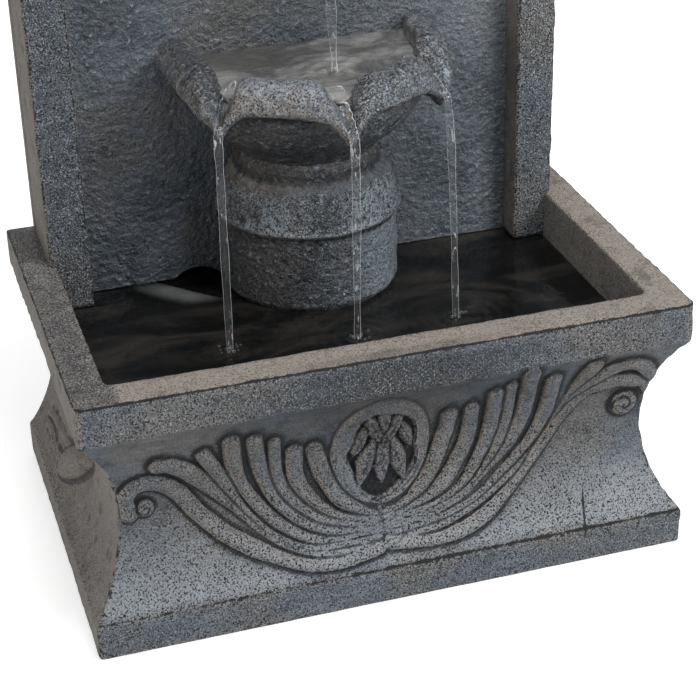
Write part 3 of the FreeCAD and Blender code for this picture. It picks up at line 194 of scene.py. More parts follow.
def cement(name, wet=False):
    """Cast cement under a black wash, as layers of colour laid over each other.

    Sides that face left are painted browner and lighter and tops sandier, as painted light; pits and flecks
    show where the piece is gritty, pale dust and dark soot where it asks for them, with the painted light and
    shade that the dust layer carries; worn arrises are pale, partly as a painted highlight; and hollows and
    creases hold the wash and painted shade. Wet cement is darker and bluer, has coarser specks, painted
    glints and a painted lighter right side, and shines.
    """
    paint = Paint(name)
    bend, wash, grit, dust = (paint.attribute(label) for label in ("bend", "wash", "grit", "dust"))
    facing = paint.node("ShaderNodeSeparateXYZ", Vector=paint.node("ShaderNodeNewGeometry")["Normal"])
    patches = paint.noise(9.0, 4.0, 0.6)
    mottle = paint.noise(46.0, 4.0, 0.65)
    worms = paint.noise(640.0, 2.0, 0.62, distortion=0.4)
    grain = paint.noise(800.0, 2.0, 0.7)
    rolling = paint.noise(150.0, 3.0, 0.55)
    streaks = paint.noise(60.0, 3.0, 0.6, paint.stretched(0.35, 0.8, 2.2))
    blue = (0.084, 0.103, 0.126) if wet else (0.100, 0.119, 0.143)
    warm = (0.118, 0.110, 0.103) if wet else (0.143, 0.135, 0.125)
    brown = (0.245, 0.215, 0.186)
    sand = (0.325, 0.280, 0.238)
    pale = (0.320, 0.372, 0.425) if wet else (0.362, 0.388, 0.415)
    black = (0.007, 0.008, 0.010)
    rough = (grit + 0.45) * (patches * 1.6 + 0.2)
    clouds_and_painted_light = dust + (mottle - 0.5) * 0.5
    layers = [
        (patches.band(0.42, 0.62) * 0.8, warm),
        # painted light: sides facing left painted browner and lighter, and tops painted sandier
        (facing["X"].band(-0.20, -0.60) * 0.90, brown),
        (facing["Z"].band(0.60, 0.95) * (0.25 if wet else 0.90), sand),
        (streaks.band(0.50, 0.70) * (0.08 if wet else 0.20), pale),
        (mottle.band(0.47, 0.30) * 0.45, black),
        # clouds of tone, with the painted light and shade that the dust layer carries
        (clouds_and_painted_light.band(0.10, 1.30) * 0.75, pale),
        (clouds_and_painted_light.band(-0.10, -1.10) * 0.75, black),
        (grain.band(0.53, 0.66) * rough * 0.75, pale),
        (grain.band(0.47, 0.35) * 0.35, black),
        (worms.band(0.48, 0.38) * rough * 1.1, black),
    ]
    if wet:
        speckled = grit + 0.30
        rightwards = paint.node("ShaderNodeSeparateXYZ", Vector=paint.place)["X"]
        layers += [
            # painted light: paler towards the right
            (rightwards.band(0.04, 0.16) * 0.17, pale),
            (patches.band(0.50, 0.36) * 0.45, black),
            (rolling.band(0.48, 0.36) * speckled * 0.45, black),
            (rolling.band(0.56, 0.70) * speckled * 0.25, pale),
            (worms.band(0.49, 0.39) * speckled * 1.1, black),
            (worms.band(0.56, 0.66) * speckled * 0.25, pale),
            # painted glints on the wet bumps
            (rolling.band(0.64, 0.68) * 0.45, pale),
        ]
    # pale on worn arrises, partly a painted highlight
    arris = bend.band(0.16, 0.45)
    # painted shade: black in hollows, where the surface turns inwards
    hollow = (-bend + (grain - 0.5) * 0.4).band(0.12, 0.45)
    # black wash and painted shade in creases
    crease = (wash + (rolling - 0.5) * 1.3 + (grain - 0.5) * 0.6).band(0.58, 0.86)
    layers += [
        (arris * worms.band(0.48, 0.60) * 0.45, sand),
        (arris * rough * worms.band(0.50, 0.42) * 0.8, black),
        (hollow * 0.70, black),
        (crease * 0.95, black),
    ]
    body = blue
    for share, colour in layers:
        body = paint.mix(share, body, colour)
    height = worms * (0.5 if wet else 0.9) + grain * 0.35 + rolling * (2.2 if wet else 0.6) + mottle * 0.6
    return paint.finish(Base_Color=body, Roughness=(mottle * 0.5 + 0.06) if wet else (grain * 0.2 + 0.58),
                        Specular_IOR_Level=0.55 if wet else 0.30, Normal=paint.bump(height, 1.0, 2.0 * MM))


def plain(name, colour, roughness, metallic=0.0):
    """A moulded or machined finish: one colour with slight clouding and a fine grain."""
    paint = Paint(name)
    cloud = paint.noise(60.0, 2.0)
    grain = paint.noise(300.0, 2.0, 0.6)
    clouding = 0.12
    darker, lighter = (tuple(min(1.0, c * (1 + change)) for c in colour) for change in (-clouding, clouding))
    return paint.finish(Base_Color=paint.mix(cloud, darker, lighter), Metallic=metallic,
                        Roughness=grain * 0.15 + (roughness - 0.075),
                        Normal=paint.bump(grain, 0.15, 0.3 * MM))


def pool_water(name):
    """Still dark water: near black with brownish drifts as painted reflections, glossy, clearer over the
    hose.
    """
    paint = Paint(name)
    reflected_drift = paint.noise(16.0, 4.0, 0.6, paint.stretched(0.5, 1.3, 1.0), 1.2)
    waves = paint.noise(30.0, 3.0, distortion=0.8) + paint.noise(95.0, 2.0) * 0.3
    at = paint.node("ShaderNodeSeparateXYZ", Vector=paint.place)
    hose = at["X"].band(-0.180, -0.160) * at["X"].band(-0.060, -0.090) * at["Y"].band(0.050, 0.075)
    # painted reflections: brownish drifts over near-black water
    tint = paint.mix(reflected_drift.band(0.42, 0.68), (0.0045, 0.0048, 0.005), (0.026, 0.023, 0.020))
    return paint.finish(Base_Color=tint, Roughness=0.07, Alpha=0.93 - hose * 0.62, IOR=1.33,
                        Normal=paint.bump(waves, 0.35, 2.5 * MM))


def bowl_water(name):
    """Stirred water over cement: grey-brown with pale swirls as painted reflections, and bright ripples."""
    paint = Paint(name)
    reflected_swirl = paint.noise(15.0, 4.0, 0.6, paint.stretched(0.7, 1.0, 1.0), 1.4)
    waves = paint.noise(60.0, 3.0, 0.55, distortion=1.5) + paint.noise(170.0, 2.0) * 0.35
    # painted reflections: pale swirls over grey-brown water
    tint = paint.mix(reflected_swirl.band(0.36, 0.70), (0.090, 0.088, 0.085), (0.330, 0.326, 0.320))
    return paint.finish(Base_Color=tint, Roughness=0.06, Alpha=0.88, IOR=1.33,
                        Normal=paint.bump(waves, 0.7, 3.0 * MM))


def running_water(name):
    """Running water: nearly clear in the middle, with a painted white reflection where it turns away and
    painted glints on its waves.
    """
    paint = Paint(name)
    waves = paint.noise(170.0, 3.0, 0.55, paint.stretched(1.0, 1.0, 0.35), 0.6)
    turned_away = paint.node("ShaderNodeLayerWeight", Blend=0.45)["Facing"]
    return paint.finish(Base_Color=(0.80, 0.83, 0.86), Roughness=0.04, IOR=1.33,
                        # painted reflection at the turned-away edges and painted glints on the waves, through
                        # the alpha
                        Alpha=turned_away.band(0.42, 0.80) * 0.85 + waves.band(0.62, 0.69) * 0.45 + 0.02,
                        Normal=paint.bump(waves, 0.8, 2.0 * MM))


# Formulas that the surfaces share

def bell(value, centre, width):
    """1 at the centre, and e to the minus squared distance, in widths, away from it."""
    return np.exp(-((value - centre) / width) ** 2)


def ramp(value, start, end):
    """0 up to start and 1 from end on, straight between, whichever of the two is higher."""
    return np.clip((value - start) / (end - start), 0, 1)


def dome(ratio, power=0.5):
    """A round back, 1 where the ratio is 0 and 0 from where it is 1: (1 - ratio squared) to a power."""
    return np.clip(1 - ratio ** 2, 0, 1) ** power


def turned(across, up, degrees):
    """Two distances, turned anticlockwise."""
    angle = math.radians(degrees)
    return (across * math.cos(angle) - up * math.sin(angle), across * math.sin(angle) + up * math.cos(angle))


def smooth_line(points, count):
    """Points on a Catmull-Rom curve: a cubic between two points, sloped as half their neighbours' step."""
    given = np.array(points, float)
    given = np.vstack([2 * given[0] - given[1], given, 2 * given[-1] - given[-2]])
    at = np.linspace(0, len(points) - 1 - 1e-9, count)
    index = at.astype(int)
    f = (at - index)[:, None]
    a, b, c, d = given[index], given[index + 1], given[index + 2], given[index + 3]
    square, cube = 2 * a - 5 * b + 4 * c - d, 3 * b - a - 3 * c + d
    return 0.5 * (2 * b + (c - a) * f + square * f ** 2 + cube * f ** 3)


def length_along(line):
    """The distance of each point from the first, along the line."""
    return np.concatenate([[0], np.cumsum(np.linalg.norm(np.diff(line, axis=0), axis=1))])


def read_at(line, along, want):
    """The line's points at wanted distances, straight between its own points."""
    return np.stack([np.interp(want, along, line[:, k]) for k in range(line.shape[1])], 1)


def softened(line, spread):
    """A polyline with its corners rounded: sampled evenly, then averaged with a bell-shaped weight."""
    line = np.array(line, float)
    step = 0.5 * MM
    along = length_along(line)
    sampled = read_at(line, along, np.arange(0, along[-1], step))
    reach = int(4 * spread / step)
    weight = np.exp(-0.5 * (np.arange(-reach, reach + 1) * step / spread) ** 2)
    weight /= weight.sum()
    padded = np.pad(sampled, ((reach, reach), (0, 0)), mode="reflect", reflect_type="odd")
    return np.stack([np.convolve(padded[:, k], weight, "valid") for k in range(line.shape[1])], 1)


def stations(line, count, crowd, favour):
    """Picks count points of a dense line, closer together where it bends and where favour is high."""
    step = np.diff(line, axis=0)
    length = np.linalg.norm(step, axis=1)
    heading = step / np.maximum(length, 1e-9)[:, None]
    turn = np.concatenate([[0], np.linalg.norm(np.diff(heading, axis=0), axis=1)])
    wide = np.convolve(turn, np.ones(9) / 9, "same")
    density = length * (1 + crowd * wide / (wide.max() + 1e-12)) * favour[:-1]
    along = np.concatenate([[0], np.cumsum(density)])
    return read_at(line, along, np.linspace(0, along[-1], count))


def closed_loop(corners, spread, count):
    """A closed line through corners, rounded by averaging, as count points evenly spaced round it."""
    corners = np.array(corners, float)
    dense = softened(np.vstack([corners] * 3 + [corners[:1]]), spread)
    along = length_along(dense)
    third = along[-1] / 3
    return read_at(dense, along, third + third * np.arange(count) / count)


def normals_of(points, wrap):
    """Unit normals of a grid of points, from the cross product of its two directions."""
    along = np.gradient(points, axis=0)
    if wrap:
        around = (np.roll(points, -1, 1) - np.roll(points, 1, 1)) / 2
    else:
        around = np.gradient(points, axis=1)
    normal = np.cross(along, around)
    return normal / np.maximum(np.linalg.norm(normal, axis=2), 1e-12)[..., None]


def bend_of(points, wrap, outward):
    """How much the surface turns near each point, in radians: above zero on arrises, below in hollows."""
    reach = 2

    def from_here(count, axis):
        if axis == 1 and wrap:
            return np.roll(points, -count, 1) - points
        index = np.clip(np.arange(points.shape[axis]) + count, 0, points.shape[axis] - 1)
        return np.take(points, index, axis) - points

    total = np.zeros(points.shape[:2])
    for axis in (0, 1):
        ahead, behind = from_here(reach, axis), from_here(-reach, axis)
        size = (np.linalg.norm(ahead, axis=2) + np.linalg.norm(behind, axis=2)) / 2 + 1e-9
        total -= ((ahead + behind) * outward).sum(2) / size
    return total


def noise_field(points, size, seed):
    """Smooth noise, mostly between -1 and 1: a sum of sine waves in directions drawn once."""
    draw = np.random.default_rng(seed)
    waves = 14
    total = np.zeros(points.shape[:-1])
    for _ in range(waves):
        direction = draw.normal(size=3)
        direction *= 2 * math.pi / size * draw.uniform(0.6, 1.5) / np.linalg.norm(direction)
        total += np.sin(points @ direction + draw.uniform(0, 2 * math.pi))
    return total / waves ** 0.5 / 1.6


def worn(points, wrap, amount, size, seed, keep):
    """Moves each point along its normal by smooth noise of two sizes; keep is the share that moves."""
    depth = noise_field(points, size, seed) + 0.5 * noise_field(points, size / 3, seed + 1)
    return points + normals_of(points, wrap) * (amount * depth * keep)[..., None]


# Meshes

def add(name, data):
    """An object in the scene that holds this mesh, lamp or camera."""
    made = bpy.data.objects.new(name, data)
    bpy.context.scene.collection.objects.link(made)
    return made


def skin(name, points, material, wrap=True, close="poles", ends=None, node=None, **layers):
    """A mesh over a grid: neighbouring rows and columns join in four-sided faces, turned to face outwards.

    close is "poles" for a point over each end row, "wall" for poles and one flat face across both side
    columns, "faces" for a flat face over each end row, or "" for an open sheet. node is the CAD node that a
    casting stands for, and layers are the black wash with painted shade, the grit, and the dust with painted
    light and shade, that its cement reads.
    """
    rows, cols = points.shape[:2]
    count = rows * cols
    index = np.arange(count).reshape(rows, cols)
    across = np.roll(index, -1, 1) if wrap else index[:, 1:]
    near = index if wrap else index[:, :-1]
    quads = np.stack([near[:-1], across[:-1], across[1:], near[1:]], -1).reshape(-1, 4)
    vertices = points.reshape(-1, 3)
    faces = quads.tolist()
    poles = 2 if close in ("poles", "wall") else 0
    if poles:
        vertices = np.vstack([vertices, np.array(ends or (points[0].mean(0), points[-1].mean(0)))])
        first, last = np.full(len(near[0]), count), np.full(len(near[0]), count + 1)
        fans = np.concatenate([np.stack([across[0], near[0], first], -1),
                               np.stack([near[-1], across[-1], last], -1)])
        faces += fans.tolist()
    if close == "wall":
        faces.append([count] + index[:, 0].tolist() + [count + 1] + index[::-1, -1].tolist())
    if close == "faces":
        faces += [index[0, ::-1].tolist(), index[-1].tolist()]
    corner = vertices[quads]
    volume = (corner[:, 0] * np.cross(corner[:, 1], corner[:, 2])).sum()
    volume += (corner[:, 0] * np.cross(corner[:, 2], corner[:, 3])).sum()
    if poles:
        corner = vertices[fans]
        volume += (corner[:, 0] * np.cross(corner[:, 1], corner[:, 2])).sum()
    if volume < 0:
        faces = [face[::-1] for face in faces]
    normal = normals_of(points, wrap)
    probe = faces[len(quads) // 2]
    facing = np.cross(vertices[probe[1]] - vertices[probe[0]], vertices[probe[2]] - vertices[probe[0]])
    outward = normal if (facing * normal.reshape(-1, 3)[probe[0]]).sum() > 0 else -normal
    mesh = bpy.data.meshes.new(name)
    mesh.from_pydata(vertices.tolist(), [], faces)
    mesh.polygons.foreach_set("use_smooth", np.array([len(face) < 5 for face in faces]))
    layers["bend"] = bend_of(points, wrap, outward)
    for label in ("bend", "wash", "grit", "dust"):
        spread = np.broadcast_to(layers.get(label, 0.0), (rows, cols)).reshape(-1)
        layer = mesh.attributes.new(label, "FLOAT", "POINT")
        layer.data.foreach_set("value", np.concatenate([spread, np.zeros(poles)]).astype(np.float32))
    mesh.materials.append(material)
    mesh.update()
    piece = add(name, mesh)
    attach(piece, "root")
    if node:
        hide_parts(node)
    return piece


# Leaf relief on the front wall: lines as points across and up in millimetres, each with its half width

right_fingers = [
    ([(52, 168), (49, 146), (40, 118), (25, 95), (8, 83), (-8, 79)], 8.5),
    ([(72, 170), (71, 140), (61, 114), (44, 93), (16, 79), (-8, 75)], 8.0),
    ([(92, 184), (92, 152), (86, 124), (71, 97), (48, 81), (16, 74), (-8, 71)], 8.5),
    ([(105, 192), (106, 153), (98, 122), (81, 95), (56, 79), (20, 70), (-8, 68)], 6.5),
    ([(120, 203), (122, 163), (114, 130), (96, 105), (71, 83), (43, 71), (14, 66), (-8, 65)], 9.0),
    ([(144, 190), (143, 154), (132, 126), (114, 105), (88, 83), (57, 69), (16, 62), (-8, 62)], 8.5),
    ([(180, 200), (168, 176), (155, 145), (138, 117), (114, 94), (83, 74), (49, 61), (16, 57),
      (-8, 58)], 8.5),
]
right_scroll = [
    ([(-7, 53), (22, 50), (53, 51), (82, 60), (107, 77), (136, 107), (157, 137), (178, 163), (205, 172),
      (230, 166), (243, 148), (243, 130)], 8.5),
    ([(120, 90), (145, 124), (163, 156), (180, 176), (197, 189), (214, 193), (230, 186), (242, 168),
      (248, 150)], 8.0),
]
left_fingers = [
    ([(-69, 157), (-60, 126), (-46, 100), (-26, 84), (-14, 79)], 8.5),
    ([(-86, 158), (-84, 127), (-70, 102), (-49, 84), (-26, 77), (-14, 75)], 8.5),
    ([(-104, 173), (-101, 135), (-88, 106), (-64, 84), (-32, 73), (-14, 71)], 6.5),
    ([(-122, 180), (-114, 138), (-102, 108), (-80, 84), (-52, 71), (-14, 67)], 8.0),
    ([(-142, 184), (-136, 143), (-120, 110), (-98, 84), (-66, 66), (-14, 64)], 8.5),
    ([(-165, 173), (-149, 142), (-131, 107), (-109, 80), (-78, 62), (-40, 59), (-14, 60)], 7.5),
    ([(-203, 170), (-190, 166), (-170, 148), (-142, 112), (-112, 77), (-80, 58), (-46, 53),
      (-14, 56)], 9.0),
]
left_scroll = [
    ([(-15, 51), (-34, 48), (-56, 46), (-82, 49), (-104, 58), (-127, 71), (-150, 88), (-172, 113),
      (-188, 137), (-206, 150), (-222, 150), (-232, 138), (-229, 122)], 8.5),
]
outermost_finger = 7

# The scrolls' eyes as centre and radius; the medallion as centre and half sizes
eyes = [(218, 143, 14.0), (-216, 126, 9.0)]
medallion = (-9.0, 145.0, 45.0, 58.0)

# Petals of the bud in the medallion: centre from the medallion's, lean in degrees, half width and half length
petals = [(0, -6, 0, 9.5, 32), (-14, -10, 14, 8.5, 30), (14, -10, -14, 8.5, 30), (-8, 26, -24, 8, 18),
          (8, 26, 24, 8, 18), (0, 34, 0, 7, 16), (-21, 14, 20, 6.5, 18), (21, 14, -20, 6.5, 18)]

# Leaf tip on each side wall: low stems by depth and height with their half width, and a lobe by its centre,
# half length, half width and slant in degrees
side_stems = [
    ([(142, 54), (122, 56), (101, 53), (76, 53), (54, 60)], 3.6),
    ([(145, 62), (128, 66), (95, 70), (62, 72), (30, 84), (2, 104)], 3.6),
]
side_lobe = (14.0, 80.0, 58.0, 15.0, 30.0)


def leaf_lines():
    """Every line of the leaf with its half width, which shrinks to the room that its neighbours leave."""
    for lines in (right_fingers + right_scroll, left_fingers + left_scroll):
        curves = [smooth_line(line, 30 * len(line)) for line, width in lines]
        for own, (line, width) in enumerate(lines):
            others = np.vstack([curve for index, curve in enumerate(curves) if index != own])
            gap = np.hypot(*(curves[own][:, None, :] - others[None, :, :]).transpose(2, 0, 1)).min(1)
            local = np.clip(0.60 * gap, 5.5 if own == outermost_finger else 1.8, width)
            yield curves[own], np.convolve(np.pad(local, 6, "edge"), np.ones(13) / 13, "valid")


def bud(x, z):
    """A leaf bud: overlapping pointed petals with a groove down each, and the black wash and painted shade
    between them and where they lie low.

    A petal is a dome over its half width, which narrows towards both ends as 1 - reach to the power 1.7.
    """
    heights = []
    for px, pz, lean, half, long in petals:
        dx, dz = turned(x - medallion[0] - px, z - medallion[1] - pz, lean)
        reach = np.abs(dz / long)
        narrowed = half * np.clip(1 - reach ** 1.7, 0.02, 1)
        ratio = np.abs(dx) / narrowed + np.maximum(reach - 0.95, 0) * 20
        heights.append(6.5 * dome(ratio, 0.55) - bell(dx, 0, 1.3))
    second, top = np.sort(np.array(heights), axis=0)[-2:]
    lumps = 0.9 * np.sin(x * 1.1 + 2 * np.sin(z * 0.45)) * np.sin(z * 0.9)
    between = bell(top - second, 0, 1.1)
    # the second value is black wash and painted shade, between the petals and where they lie low
    return top + lumps - between, np.clip(0.56 + 0.5 * between + 0.5 * ramp(top, 2.2, 0), 0, 1)


def carved_front(x, z):
    """Height in millimetres, black wash with painted shade, and soft painted shade of the leaf relief at
    points of the front wall.

    A line is a dome over its half width, an eye a dome with a spiral groove, and the medallion an oval dome
    with a hollow that holds the bud. Wash and shade are bells of the distance from the nearest edge.
    """
    height = np.zeros(len(x))
    nearest = np.full(len(x), 9.0)
    size = np.full(len(x), 8.0)
    for curve, local in leaf_lines():
        ratio = np.hypot(x[:, None] - curve[:, 0], z[:, None] - curve[:, 1]) / local
        at = ratio.argmin(1)
        ratio = ratio[np.arange(len(x)), at]
        size = np.where(ratio < nearest, local[at], size)
        nearest = np.minimum(nearest, ratio)
        height = np.maximum(height, 0.72 * local[at] * dome(ratio, 0.55))
    coil = np.zeros(len(x))
    for eye_x, eye_z, eye_radius in eyes:
        ratio = np.hypot(x - eye_x, z - eye_z) / eye_radius
        angle = np.arctan2(z - eye_z, x - eye_x)
        spiral = 0.5 + 0.5 * np.cos(angle * np.sign(eye_x) - ratio * 8.0)
        height = np.maximum(height, 7.0 * dome(ratio) * (0.72 + 0.28 * spiral))
        coil = np.maximum(coil, (ratio < 0.97) * (1 - spiral) ** 1.5 * 0.95)
        nearest = np.minimum(nearest, ratio)
    off = (nearest - 1.0) * np.clip(size, 2, 9)
    # black wash and painted shade in the creases along the lines' edges and in the eyes' grooves
    wash = np.maximum(bell(off, 0, 1.2) * np.clip(size / 5.5, 0.74, 1.05), coil)
    shade = bell(off, 0, 4.5) * np.where(off > 0, 1.0, 0.6) * np.clip(size / 6.0, 0.3, 1.0)
    mx, mz, half_across, half_up = medallion
    oval = np.hypot((x - mx) / half_across, (z - mz) / half_up)
    hollow = np.hypot((x - mx - 1) / (half_across * 0.70), (z - mz + 3) / (half_up * 0.84))
    hollow = hollow + 0.05 * np.sin(5 * np.arctan2(z - mz, x - mx) + 1.0)
    sunk = ramp(hollow, 1.0, 0.91)
    carving, dark = bud(x, z)
    inside = ramp(oval, 1.02, 0.98)
    height = height * (1 - inside) + (10.0 * dome(oval, 0.6) - sunk * (5.0 - carving)) * inside
    # black wash and painted shade in the medallion's hollow
    wash = wash * (1 - inside) + sunk * dark * inside
    wash = np.maximum(wash, bell(oval, 1.02, 0.02) * 0.35)
    wash = np.maximum(wash, bell(hollow, 1.0, 0.04) * 0.9)
    cord = bell(oval, 0.96, 0.03) * ramp(z, mz + 25, mz + 5)
    seam = bell(x, -11, 1.3) * ramp(z, 50, 56) * ramp(z, 90, 84)
    return height + cord * 1.3 + seam * 1.4, wash, shade * (1 - inside)


def carved_side(y, z):
    """Height in millimetres and black wash with painted shade of the leaf tip at points of a side wall, by
    depth and height.

    A stem is a bell over its half width; the lobe is a dome over a slanting oval that widens forwards.
    """
    height = np.zeros(len(y))
    wash = np.zeros(len(y))
    for line, width in side_stems:
        curve = smooth_line(line, 120)
        ratio = np.hypot(y[:, None] - curve[:, 0], z[:, None] - curve[:, 1]).min(1) / width
        height = np.maximum(height, 2.4 * bell(ratio, 0, 1))
        wash = np.maximum(wash, 0.20 * bell(ratio, 1.2, 2.2 / width))
    centre_y, centre_z, half_long, half_wide, slant = side_lobe
    along, across = turned(centre_y - y, z - centre_z, -slant)
    oval = np.hypot(along / half_long, across / (half_wide * (1 - 0.25 * along / half_long)))
    height = np.maximum(height, 11.0 * dome(oval))
    # painted shade under the lobe's lower edge, and faint wash beside the stems
    return height, np.maximum(wash * (oval > 1.0), bell(oval, 1.02, 0.12) * ramp(across, 4, -6) * 0.58)


# Basin

# Points round each of the basin's rings: one side, one corner, the front, the back
side_steps, corner_steps, front_steps, back_steps = 72, 6, 350, 10
front_start = side_steps + corner_steps
front_end = front_start + front_steps


def cove(z, radius):
    """How far a concave wall stands in from the rim's face at a height: a circle about an axis outside it."""
    return np.sqrt(radius ** 2 - (z - cove_height) ** 2) - cove_axis


def basin_line():
    """The basin's section, from the underside over plinth, cove and rim to the floor, crowded on the cove.

    Each point is a distance in from the rim's face, and a height.
    """
    wall_z = np.linspace(plinth_top, rim_underside, 60)
    inner_z = np.linspace(188.7 * MM, 54.3 * MM, 30)
    chamfer, ledge = 1.5 * MM, 2.5 * MM
    profile = [(60 * MM, 0.0), (chamfer, 0.0), (0.0, chamfer), (0.0, plinth_top - ledge), (ledge, plinth_top)]
    profile += zip(cove(wall_z, cove_radius), wall_z)
    profile += [(0.5 * MM, rim_underside + 1 * MM), (0.0, rim_underside + 2 * MM), (0.0, rim_top)]
    profile += [(rim_width, rim_top), (rim_width, 190 * MM)]
    profile += zip(cove(inner_z, inner_cove_radius), inner_z)
    profile += [(rim_width, 50 * MM), (rim_width, floor_top), (90 * MM, floor_top)]
    dense = softened(profile, 1.7 * MM)
    height = dense[:, 1]
    outside = np.arange(len(dense)) < np.argmax(height)
    on_cove = outside & (height > plinth_top) & (height < rim_underside)
    return stations(dense, 192, 4.0, np.where(on_cove, 4.2, 1.0))


def rings(inset, front, back, radius):
    """Rings of a box seen from above: left side, front with two round corners, right side, and back."""
    a, f, b, r = (half_width - inset)[:, None], front[:, None], back[:, None], radius[:, None]
    up, run, home = (np.linspace(0, 1, count, endpoint=False)[None, :]
                     for count in (side_steps, front_steps, back_steps))
    arc = np.linspace(0, math.pi / 2, corner_steps, endpoint=False)[None, :]
    parts = [
        (-a + 0 * up, b + (f + r - b) * up),
        (-a + r - r * np.cos(arc), f + r - r * np.sin(arc)),
        (-a + r + 2 * (a - r) * run, f + 0 * run),
        (a - r + r * np.sin(arc), f + r - r * np.cos(arc)),
        (a + 0 * up, f + r + (b - f - r) * up),
        (a - 2 * a * home, b + 0 * home),
    ]
    return (np.concatenate(part, 1) for part in zip(*parts))


def basin_surface(material):
    """The basin as rings at the heights of its section, with the carving raised along the cove's normals."""
    inset, z = basin_line().T
    inner = np.arange(len(z)) > np.argmax(z)
    front = front_y + inset + front_rim_extra * ramp(inset, 16 * MM, 32 * MM) * inner
    back = back_y - np.minimum(inset, back_rim_width) * inner
    back = np.where(inner & (inset > 60 * MM), back_y - inset + back_rim_width, back)
    back = np.where((z < 2 * MM) & (inset > 2 * MM), back_y - inset, back)
    outer_radius = np.where(z > rim_underside + 2 * MM, 9 * MM, 3.5 * MM)
    radius = np.convolve(np.pad(np.where(inner, 8 * MM, outer_radius), 4, "edge"), np.ones(9) / 9, "valid")
    x, y = rings(inset, front, back, radius)
    level = np.broadcast_to(z[:, None], x.shape)
    points = np.stack([x, y, level], -1)
    normal = normals_of(points, True)
    cove_row = 80
    if normal[cove_row, front_start + front_steps // 2, 1] > 0:
        normal = -normal

    lift, wash, smooth, shade = (np.zeros(x.shape) for _ in range(4))
    rows = np.where((z > plinth_top - 0.1 * MM) & (z < rim_underside + 1 * MM) & ~inner)[0]
    block = np.ix_(rows, np.arange(front_start, front_end))
    relief = carved_front(x[block].ravel() / MM, level[block].ravel() / MM)
    height, dark, soft = (layer.reshape(x[block].shape) for layer in relief)
    edge = ramp(half_width - inset[rows][:, None] - np.abs(x[block]), 0, 4 * MM)
    lift[block], wash[block], shade[block] = height * MM * edge, dark * edge, soft * edge
    smooth[block] = np.clip(height / 3.0, 0, 1)
    for start in (0, front_end + corner_steps):
        block = np.ix_(rows, np.arange(start, start + side_steps))
        height, dark = (layer.reshape(x[block].shape)
                        for layer in carved_side(y[block].ravel() / MM, level[block].ravel() / MM))
        lift[block], wash[block] = height * MM, dark

    layers = basin_wear_and_shading(points, normal, inset[:, None], ~inner[:, None], wash, smooth, shade)
    rough = 0.50 * MM * (noise_field(points, 14 * MM, 3) + noise_field(points, 45 * MM, 4)) - 0.45 * MM
    free = ramp(level, 0, 4 * MM) * ramp(y, back_y, back_y - 10 * MM) * np.where(inner, 0.6, 1.0)[:, None]
    points = points + normal * (lift + rough * free)[..., None]
    points = np.clip(points, [-half_width, front_y, 0.0], [half_width, back_y, rim_top])
    skin("basin_casting", points, material, node="basin", **layers)


def basin_wear_and_shading(points, normal, inset, outer, wash, smooth, shade):
    """Wash, grit and dust of the basin, with painted light and shade among them: pale over the plinth and on
    the leaf, a painted highlight low on the right end, painted shade under the rim and beside the leaf's
    lines, dark in the middle as painted shade and stain, gritty low down, sooty on the left rim, with a black
    line along each arris and one thin crack."""
    x, level = points[..., 0], points[..., 2]
    facing_out = outer & (level < rim_top - 1 * MM)
    rim_face = facing_out & (level > rim_underside)
    wall_face = facing_out & ~rim_face
    facing_left = normal[..., 0] < -0.6
    on_front = normal[..., 1] < -0.4
    low_grit = np.interp(level, [0.04, 0.12, 0.20], [0.70, 0.20, -0.25])
    grit = np.where(rim_face, 0.55, np.where(facing_out, low_grit, 0.15))
    grit = grit + 0.15 * smooth - 0.45 * (facing_left & outer)

    # paler low on the wall, darker up towards the rim, where it is painted shade under the rim
    low_dust = np.interp(level, [0.030, 0.042, 0.080, 0.130, 0.205], [-0.2, 1.05, 0.62, 0.12, -0.38])
    # darker in the middle of the upper wall and the rim's face: painted shade and stain
    dust = low_dust * wall_face - 0.60 * bell(x, 0, 0.13) * (level > 0.15) * outer
    dust = dust - (0.15 + 0.30 * bell(x, 0, 0.12)) * rim_face
    # painted shade beside the leaf's lines; the leaf paler where it stands up; left sides keep little of the
    # rest
    dust = np.where(facing_left & outer & ~rim_face, 0.15 * dust, dust) + 0.26 * smooth - 0.85 * shade
    soot = (level > rim_top - 2 * MM) * ramp(x, -0.228, -0.236)
    grit = grit + 0.70 * soot
    dust = dust - soot * (0.85 + 0.25 * noise_field(points, 22 * MM, 7))
    # painted highlight: a wet shine low on the right end of the wall
    right_end_shine = bell(x, 0.225, 0.045) * facing_out * np.interp(level, [0.02, 0.045, 0.09], [0, 1, 0])
    rim_line = bell(level, rim_top - 4.5 * MM, 1.2 * MM) * outer * (inset < 4 * MM)
    dust = dust + 0.6 * right_end_shine + 0.8 * rim_line

    to_arris = np.hypot(level - rim_top + 0.8 * MM, np.minimum(inset, 50 * MM) - 0.8 * MM)
    rim_arris = (1.0 + 0.5 * on_front) * bell(to_arris, 0, 1.7 * MM) * outer
    # painted shade: a dark line under the rim, darker in the middle
    under_rim = (0.62 + 0.33 * bell(x, 0.05, 0.15)) * bell(level, rim_underside + 1.0 * MM, 1.5 * MM) * outer
    plinth_step = (1.05 - 0.25 * (x < -0.05)) * bell(level, plinth_top - 2.0 * MM, 2.4 * MM)
    plinth_step = plinth_step * outer * ~facing_left
    crack = bell(x - 0.12 * (level - 0.04), 0.176, 1.6 * MM) * on_front
    crack = 1.2 * crack * np.interp(level, [0.015, 0.03, 0.06, 0.075], [0, 1, 1, 0])
    corner_line = np.zeros(x.shape)
    corner_line[:, side_steps:front_start] = corner_line[:, front_end:front_end + corner_steps] = 0.62
    for dark in (rim_arris, under_rim, plinth_step, crack, corner_line * wall_face):
        wash = np.maximum(wash, dark)
    return {"wash": wash, "grit": grit, "dust": dust}


# Tower frame, urn and bowl

